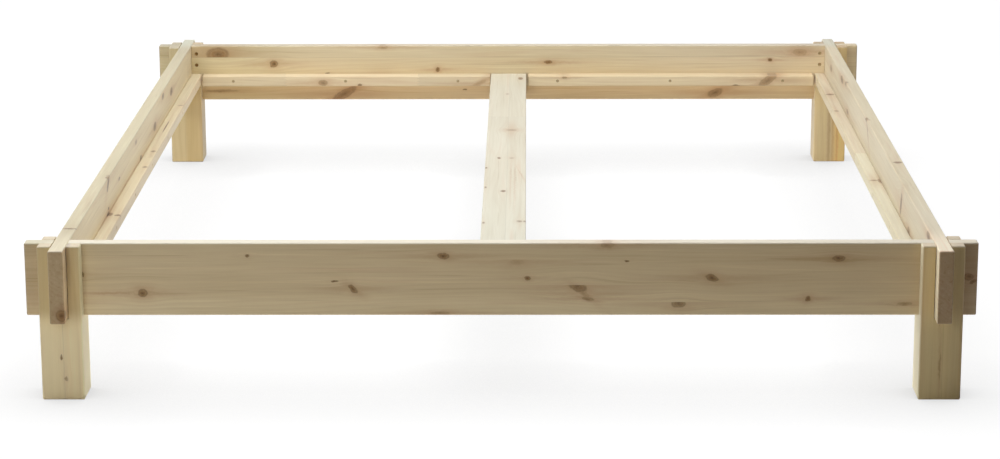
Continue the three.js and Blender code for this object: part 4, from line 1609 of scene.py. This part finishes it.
CLEAT_WOOD = {
    "left_cleat": Timber(
        1.2, pith=(0.05, 0.03), tint=(1.03, 1.1, 1.17),
        finger_joints=((-0.52, 0.06), (0.02, -0.03), (0.41, 0.03), (0.599, -0.06)),
        fades=(
            # Painted light: a paler top, and the inner face lighter towards the head end and darker towards
            # the foot end.
            Fade(CLEAT_TOP, (0.02, 0.06, 0.12)),
            Fade(LEFT_CLEAT_INSIDE, (0.02, -0.02, -0.07)),
            Fade(Span(Way.ALONG, 0.4, 0.9), (0.18, 0.14, 0.12), LEFT_CLEAT_INSIDE),
            Fade(Span(Way.ALONG, -0.1, -0.6), (-0.1, -0.12, -0.16), LEFT_CLEAT_INSIDE),
        ),
        knots=(
            Knot(-0.519, 0.0125, 0.007, 0.006, 0.9, 0.6, through=0.008, deep=0.008),
            Knot(-0.512, 0.0125, 0.016, 0.006, 1.0, 1.0, through=-0.012, deep=0.009),
            Knot(0.599, 0.0125, 0.007, 0.006, 0.4, 0.5, through=0.006, deep=0.008),
            Knot(0.085, 0.0125, 0.01, 0.006, 0.7, 0.5, through=0.004, deep=0.006),
            Knot(-0.074, 0.0125, 0.009, 0.006, 0.6, 0.5, through=0.006, deep=0.006),
            Knot(0.352, 0.0125, 0.066, 0.006, 1.0, 0.5, deep=0.0018),
        ),
    ),
    "right_cleat": Timber(
        2.6, pith=(0.04, -0.05), tint=(0.97, 1.08, 1.22), finger_joints=((0.06, 0.0),),
        fades=(
            Fade(Span(Way.ALONG, 0.06, 0.055), (0.0, 0.04, 0.1)),
            Fade(Span(Way.ALONG, 0.06, 0.065), (-0.06, -0.09, -0.07)),
            # Painted light, warm, on the inner face, with the top held back a little.
            Fade(Span(Way.THROUGH, -0.0105, -0.0128), (0.09, 0.05, -0.11)),
            Fade(CLEAT_TOP, (-0.05, -0.03, 0.0)),
        ),
        knots=(
            Knot(0.727, 0.0125, 0.01, 0.006, 1.0, 0.8, through=-0.001, deep=0.011),
            Knot(0.526, 0.0125, 0.01, 0.006, 0.65, 0.7, through=-0.006, deep=0.006),
            Knot(-0.214, 0.0125, 0.02, 0.006, 0.9, 0.9, through=0.01, deep=0.005),
            Knot(-0.208, 0.0125, 0.008, 0.006, 0.65, 0.8, through=-0.002, deep=0.01),
        ),
    ),
    "head_left_cleat": Timber(
        3.3, pith=(0.01, -0.06), tint=(1.09, 1.145, 1.23), finger_joints=((-0.16, 0.07), (0.18, -0.08)),
        knots=(
            Knot(-0.059, -0.004, 0.013, 0.008, 0.6, 0.9), Knot(0.034, -0.01, 0.007, 0.004, 0.9, 0.6),
            Knot(0.338, -0.006, 0.02, 0.006, 0.15, 1.0, slant=-0.5),
        ),
    ),
    "head_right_cleat": Timber(
        4.7, pith=(0.02, -0.05), tint=(1.2, 1.25, 1.32),
        knots=(
            Knot(-0.271, 0.009, 0.007, 0.003, 0.5, 0.8), Knot(0.165, -0.012, 0.012, 0.002, 0.9, 0.6),
            Knot(0.246, 0.001, 0.025, 0.012, 0.5, 1.0, slant=-0.5),
        ),
    ),
    "foot_left_cleat": Timber(5.9, pith=(0.03, 0.06)),
    "foot_right_cleat": Timber(6.4, pith=(-0.02, 0.05)),
    "foot_beam_seat": Timber(7.3, pith=(0.02, 0.05)),
    "head_beam_seat": Timber(8.8, pith=(-0.03, 0.04)),
}
BEAM_WOOD = Timber(
    0.6, pith=(0.03, -0.06), glue_line=-0.004, stave=0.1, tint=(0.955, 0.99, 1.02),
    finger_joints=((0.459, 0.04),),
    fades=(
        Fade(Span(Way.ALONG, -0.2, -0.6), (0.055, 0.085, 0.105)),
    ),
    knots=(
        Knot(0.936, -0.031, 0.018, 0.0065, 1.0, 0.3), Knot(0.737, 0.001, 0.012, 0.004, 0.3, 0.3),
        Knot(0.312, -0.011, 0.01, 0.013, 0.4, 0.9), Knot(0.014, 0.015, 0.01, 0.004, 1.0, 0.3),
        Knot(0.014, -0.013, 0.008, 0.006, 0.35, 0.5), Knot(-0.307, 0.003, 0.011, 0.006, 1.0, 0.3),
        Knot(-0.573, -0.032, 0.009, 0.006, 0.6, 0.4), Knot(-0.573, -0.042, 0.008, 0.003, 0.7, 0.2),
        Knot(-0.084, 0.042, 0.009, 0.003, 1.0, 0.3), Knot(-0.271, 0.041, 0.009, 0.003, 0.7, 0.3),
        Knot(-0.585, 0.041, 0.008, 0.003, 0.7, 0.3),
        Knot(-0.13, -0.032, 0.035, 0.0016, 0.1, 0.7, slant=-0.13),
        Knot(-0.17, -0.012, 0.11, 0.0014, 0.0, 0.5), Knot(-0.2, -0.021, 0.11, 0.0014, 0.0, 0.5),
    ),
)


def dress(piece: bpy.types.Object, node: str, body: Body, material: bpy.types.Material) -> None:
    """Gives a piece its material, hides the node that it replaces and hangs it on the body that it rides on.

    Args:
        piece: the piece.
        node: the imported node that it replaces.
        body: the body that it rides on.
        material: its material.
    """
    piece.data.materials.append(material)
    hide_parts(node)
    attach(piece, body.value)
    log.info("%s: %d faces on %s", piece.name, len(piece.data.polygons), body.value)


@dataclass
class Legs:
    """The four legs at the corners."""

    edge: float = 0.003
    ends: tuple[str, str] = ("foot", "head")
    sides: tuple[str, str] = ("left", "right")
    bevel: float = 0.0005
    bevel_angle: float = math.radians(60)
    timbers: dict[str, Timber] = field(default_factory=lambda: LEG_WOOD)

    def build(self) -> None:
        """Builds the four legs and dresses each in its own wood."""
        for end in self.ends:
            for side in self.sides:
                node = f"{end}_{side}_leg"
                low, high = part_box(node)
                inward = (1 if side == "left" else -1, 1 if end == "foot" else -1)
                post = Post(low, high, inward, self.edge)
                piece = post.shell().finish(f"{node}_post")
                eased = piece.modifiers.new("eased_slots", "BEVEL")
                eased.width, eased.segments, eased.limit_method = self.bevel, 1, "ANGLE"
                eased.angle_limit = self.bevel_angle
                piece.modifiers.move(1, 0)
                material = LEG.material(f"{node}_pine", post, Lay.UPRIGHT, self.timbers[f"{end}_{side}"])
                dress(piece, node, Body.FRAME, material)


HOLE_EASE = 1.04


def holes_for(board: Board, nodes: list[str], side: int, shank: float) -> None:
    """Cuts a countersunk hole in a board for each of its screws, where the screw's node is.

    Args:
        board: the board.
        nodes: the screws' nodes.
        side: the face that they go into, 1 or -1 through the board.
        shank: the radius of the screws' shanks.
    """
    for node in nodes:
        low, high = corners(node)
        along, across, _ = board.axes @ ((low + high) / 2 - board.centre)
        head = (high - low)[2] / 2
        board.holes.append(Hole(float(along), float(across), side, float(head) * HOLE_EASE, shank))


@dataclass
class Rails:
    """The two end rails and the two side rails, half-lapped where they cross."""

    edge: float = 0.003
    lap_half: float = 0.0145
    lap_play: float = 0.00015
    screw_shank: float = 0.0025
    timbers: dict[str, Timber] = field(default_factory=lambda: RAIL_WOOD)

    def _board(self, node: str, lay: Lay, crossing: list[str], from_above: bool) -> Board:
        """Makes a rail's board, with a notch where each crossing rail runs through it.

        Args:
            node: the rail's node.
            lay: how it lies.
            crossing: the nodes of the rails that cross it.
            from_above: whether the notches come down from its top edge.

        Returns:
            The board.
        """
        board = Board(*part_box(node), lay, self.edge)
        play = -self.lap_play if from_above else self.lap_play
        for other in crossing:
            low, high = corners(other)
            along = float(board.axes[0] @ ((low + high) / 2 - board.centre))
            board.notches.append(Notch(along, self.lap_half, play, from_above))
        return board

    def build(self) -> None:
        """Builds the rails and dresses each in its own wood."""
        for end in ("foot", "head"):
            board = self._board(f"{end}_rail", Lay.END_RAIL, ["left_rail", "right_rail"], True)
            screws = [
                f"{end}_{side}_corner_screw_{row}" for side in ("left", "right") for row in ("upper", "lower")
            ]
            holes_for(board, screws, -1 if end == "foot" else 1, self.screw_shank)
            self._finish(board, end, Lay.END_RAIL)
        for side in ("left", "right"):
            board = self._board(f"{side}_rail", Lay.SIDE_RAIL, ["foot_rail", "head_rail"], False)
            self._finish(board, side, Lay.SIDE_RAIL)

    def _finish(self, board: Board, name: str, lay: Lay) -> None:
        """Makes the rail's object and its wood.

        Args:
            board: the rail's board.
            name: the end or side that it is for.
            lay: how it lies.
        """
        piece = board.shell().finish(f"{name}_rail_board")
        material = RAIL.material(f"{name}_rail_pine", board, lay, self.timbers[name])
        dress(piece, f"{name}_rail", Body.FRAME, material)


@dataclass
class Cleats:
    """The strips that carry the slats, and the two blocks that carry the centre beam."""

    edge: float = 0.002
    arc_steps: int = 4
    screw_shank: float = 0.002
    side_screws: int = 7
    end_screws: int = 3
    timbers: dict[str, Timber] = field(default_factory=lambda: CLEAT_WOOD)

    def build(self) -> None:
        """Builds the strips and blocks and dresses each in its own wood."""
        for side in ("left", "right"):
            screws = [f"{side}_cleat_screw_{count + 1}" for count in range(self.side_screws)]
            self._strip(f"{side}_cleat", Lay.SIDE_RAIL, screws, 1 if side == "left" else -1)
        for end in ("foot", "head"):
            face = -1 if end == "foot" else 1
            for side in ("left", "right"):
                screws = [f"{end}_{side}_cleat_screw_{count + 1}" for count in range(self.end_screws)]
                self._strip(f"{end}_{side}_cleat", Lay.END_RAIL, screws, face)
            screws = [f"{end}_seat_screw_{side}" for side in ("left", "right")]
            self._strip(f"{end}_beam_seat", Lay.END_RAIL, screws, face)

    def _strip(self, node: str, lay: Lay, screws: list[str], face: int) -> None:
        """Makes one strip with the holes for its screws.

        Args:
            node: the strip's node.
            lay: how it lies.
            screws: the nodes of its screws.
            face: the face that they go into.
        """
        board = Board(*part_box(node), lay, self.edge, arc_steps=self.arc_steps)
        holes_for(board, screws, face, self.screw_shank)
        piece = board.shell().finish(f"{node}_strip")
        material = CLEAT.material(f"{node}_pine", board, lay, self.timbers[node])
        dress(piece, node, Body.FRAME, material)


@dataclass
class CentreBeam:
    """The loose beam down the middle, with its support leg and the stud that joins them."""

    edge: float = 0.002
    beam: Timber = BEAM_WOOD
    leg: Timber = Timber(2.4, pith=(0.04, 0.05))

    def build(self) -> None:
        """Builds the beam, the support leg and the stud."""
        board = Board(*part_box("centre_beam"), Lay.FLAT, self.edge)
        piece = board.shell().finish("centre_beam_board")
        material = BEAM.material("centre_beam_pine", board, Lay.FLAT, self.beam)
        dress(piece, "centre_beam", Body.BEAM, material)
        post = Board(*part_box("support_leg"), Lay.UPRIGHT, self.edge)
        piece = post.shell().finish("support_leg_post")
        material = LEG.material("support_leg_pine", post, Lay.UPRIGHT, self.leg)
        dress(piece, "support_leg", Body.BEAM, material)
        low, high = corners("support_stud")
        top = np.array([*(low + high)[:2] / 2, high[2]])
        width, _, length = map(float, high - low)
        stud = Stud(top, np.array([0.0, 0.0, -1.0]), length, radius=width / 2)
        dress(stud.shell().finish("support_stud_rod"), "support_stud", Body.BEAM,
              STEEL.material("stud_steel"))


@dataclass
class Screws:
    """Every wood screw, driven into the piece behind the one it holds."""

    drives: dict[str, Triple] = field(default_factory=lambda: {
        "left": (-1.0, 0.0, 0.0), "right": (1.0, 0.0, 0.0), "foot": (0.0, -1.0, 0.0), "head": (0.0, 1.0, 0.0),
    })
    corner_shank: float = 0.0025
    cleat_shank: float = 0.002

    def build(self) -> None:
        """Builds a screw for each screw node, along its own box."""
        steel, shadowed = STEEL.material("screw_steel"), SHADOWED_STEEL.material("shadowed_steel")
        for node in sorted(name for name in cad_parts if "screw" in name):
            low, high = corners(node)
            drive = np.array(self.drives[node.split("_")[0]])
            reach = np.abs(drive) @ (high - low)
            head_end = (low + high) / 2 - drive * reach / 2
            screw = WoodScrew(
                head_end, drive, float(reach), head=float(high[2] - low[2]) / 2,
                shank=self.corner_shank if "corner" in node else self.cleat_shank,
            )
            # The left corner screws take the darker copy of the steel, with the shade of their recesses
            # painted in.
            material = shadowed if "left_corner" in node else steel
            dress(screw.shell().finish(f"{node}_turned"), node, Body.FRAME, material)


@dataclass(frozen=True)
class Lamp:
    """A soft square lamp: where it hangs, the point it faces, its side in metres and its power in watts."""

    name: str
    place: Triple
    aim: Triple
    size: float
    power: float

    def hang(self) -> None:
        """Hangs the lamp and turns it to its point."""
        data = bpy.data.lights.new(self.name, "AREA")
        data.shape, data.size, data.energy = "SQUARE", self.size, self.power
        lamp = linked(self.name, data)
        lamp.location = self.place
        lamp.rotation_euler = (Vector(self.aim) - Vector(self.place)).to_track_quat("-Z", "Y").to_euler()


@dataclass
class Studio:
    """The pale floor, the soft lamps, the white surroundings and the camera."""

    lens: float = 103.53
    sensor: float = 36.0
    far: float = 100.0
    eye: Triple = (0.0512475, -6.23499, 1.62639)
    pitch: float = 0.2453
    yaw: float = -0.0100
    roll: float = -0.0029
    floor_reach: float = 30.0
    floor_white: float = 0.92
    floor_seen: float = 0.1
    floor_glow: tuple[float, float] = (0.95, 0.995)
    bare: tuple[float, float] = (1.2, 2.4)
    contact: float = 0.5
    contact_reach: float = 0.27
    contact_samples: int = 8
    lamps: tuple[Lamp, ...] = (
        Lamp("overhead", (0.0, 0.0, 2.5), (0.0, 0.0, 0.0), 2.6, 56.0),
        Lamp("overhead_left", (-2.0, 0.0, 1.9), (0.0, 0.0, 0.0), 1.6, 28.0),
        Lamp("overhead_head_end", (0.0, 1.9, 2.3), (0.0, 0.4, 0.0), 1.8, 9.0),
        Lamp("front_left", (-1.1, -3.0, 1.2), (-0.6, -1.0, 0.1), 1.2, 10.0),
    )

    def build(self) -> None:
        """Sets up everything that isn't the object."""
        self._camera()
        self._world()
        self._floor()
        for lamp in self.lamps:
            lamp.hang()
        bpy.context.scene.view_settings.view_transform = "Standard"

    def _camera(self) -> None:
        """Stands the camera where the photograph was taken from."""
        forward = Vector((
            math.sin(self.yaw) * math.cos(self.pitch),
            math.cos(self.yaw) * math.cos(self.pitch),
            -math.sin(self.pitch),
        ))
        right = Vector((math.cos(self.yaw), -math.sin(self.yaw), 0))
        up = right.cross(forward)
        tilted_right = math.cos(self.roll) * right + math.sin(self.roll) * up
        tilted_up = math.cos(self.roll) * up - math.sin(self.roll) * right
        data = bpy.data.cameras.new("camera")
        data.lens, data.sensor_width, data.sensor_fit = self.lens, self.sensor, "HORIZONTAL"
        data.clip_end = self.far
        camera = linked("camera", data)
        turn = Matrix((tilted_right, tilted_up, -forward)).transposed()
        camera.matrix_world = Matrix.Translation(self.eye) @ turn.to_4x4()
        bpy.context.scene.camera = camera

    def _seen(self, graph: Graph) -> Wire:
        """Gives 1 for rays from the camera and for mirrored ones, and 0 for those that light a surface.

        Args:
            graph: the graph of the world or of a material.

        Returns:
            The mask.
        """
        path = graph.add("ShaderNodeLightPath").outputs
        camera, glossy, through = (
            Wire(graph, path[f"Is {ray} Ray"]) for ray in ("Camera", "Glossy", "Transmission")
        )
        return graph.math("MAXIMUM", camera, graph.math("MAXIMUM", glossy, through))

    def _world(self) -> None:
        """Makes the surroundings white to look at, without any light of their own."""
        world = bpy.data.worlds.new("surroundings")
        world.use_nodes = True
        graph = Graph(world.node_tree)
        graph.fill(world.node_tree.nodes["Background"], {"Color": WHITE, "Strength": self._seen(graph)})
        bpy.context.scene.world = world

    def _floor(self) -> None:
        """Lays a pale floor that looks white and keeps a faint shadow."""
        mesh = bpy.data.meshes.new("floor")
        points = [(x * self.floor_reach, y * self.floor_reach, 0) for x, y in CORNERS]
        mesh.from_pydata(points, [], [tuple(range(len(points)))])
        floor = linked("floor", mesh)
        material = bpy.data.materials.new("floor_white")
        material.use_nodes = True
        tree = material.node_tree
        graph = Graph(tree)
        tree.nodes.remove(tree.nodes["Principled BSDF"])
        seen = self._seen(graph)
        shade = seen * (self.floor_seen - self.floor_white) + self.floor_white
        plain = graph.out("ShaderNodeBsdfDiffuse", 0, {"Color": graph.joined(shade, shade, shade)})
        near = graph.out(
            "ShaderNodeAmbientOcclusion", "AO", {"Distance": self.contact_reach}, samples=self.contact_samples
        )
        away = graph.vector("LENGTH", graph.out("ShaderNodeTexCoord", "Object"))
        glow = graph.ramp(away, *self.bare, *self.floor_glow) * (near * self.contact + (1 - self.contact))
        light = graph.out("ShaderNodeEmission", 0, {"Strength": seen * glow, "Color": WHITE})
        both = graph.out("ShaderNodeAddShader", 0, {0: plain, 1: light})
        graph.fill(tree.nodes["Material Output"], {"Surface": both})
        mesh.materials.append(material)


def main() -> None:
    """Builds the assemblies in order, then the studio."""
    logging.basicConfig(level=logging.INFO, format="%(name)s: %(message)s")
    for assembly in (Legs(), Rails(), Cleats(), CentreBeam(), Screws(), Studio()):
        log.info("building %s", type(assembly).__name__)
        assembly.build()


if __name__ == "__main__":
    main()
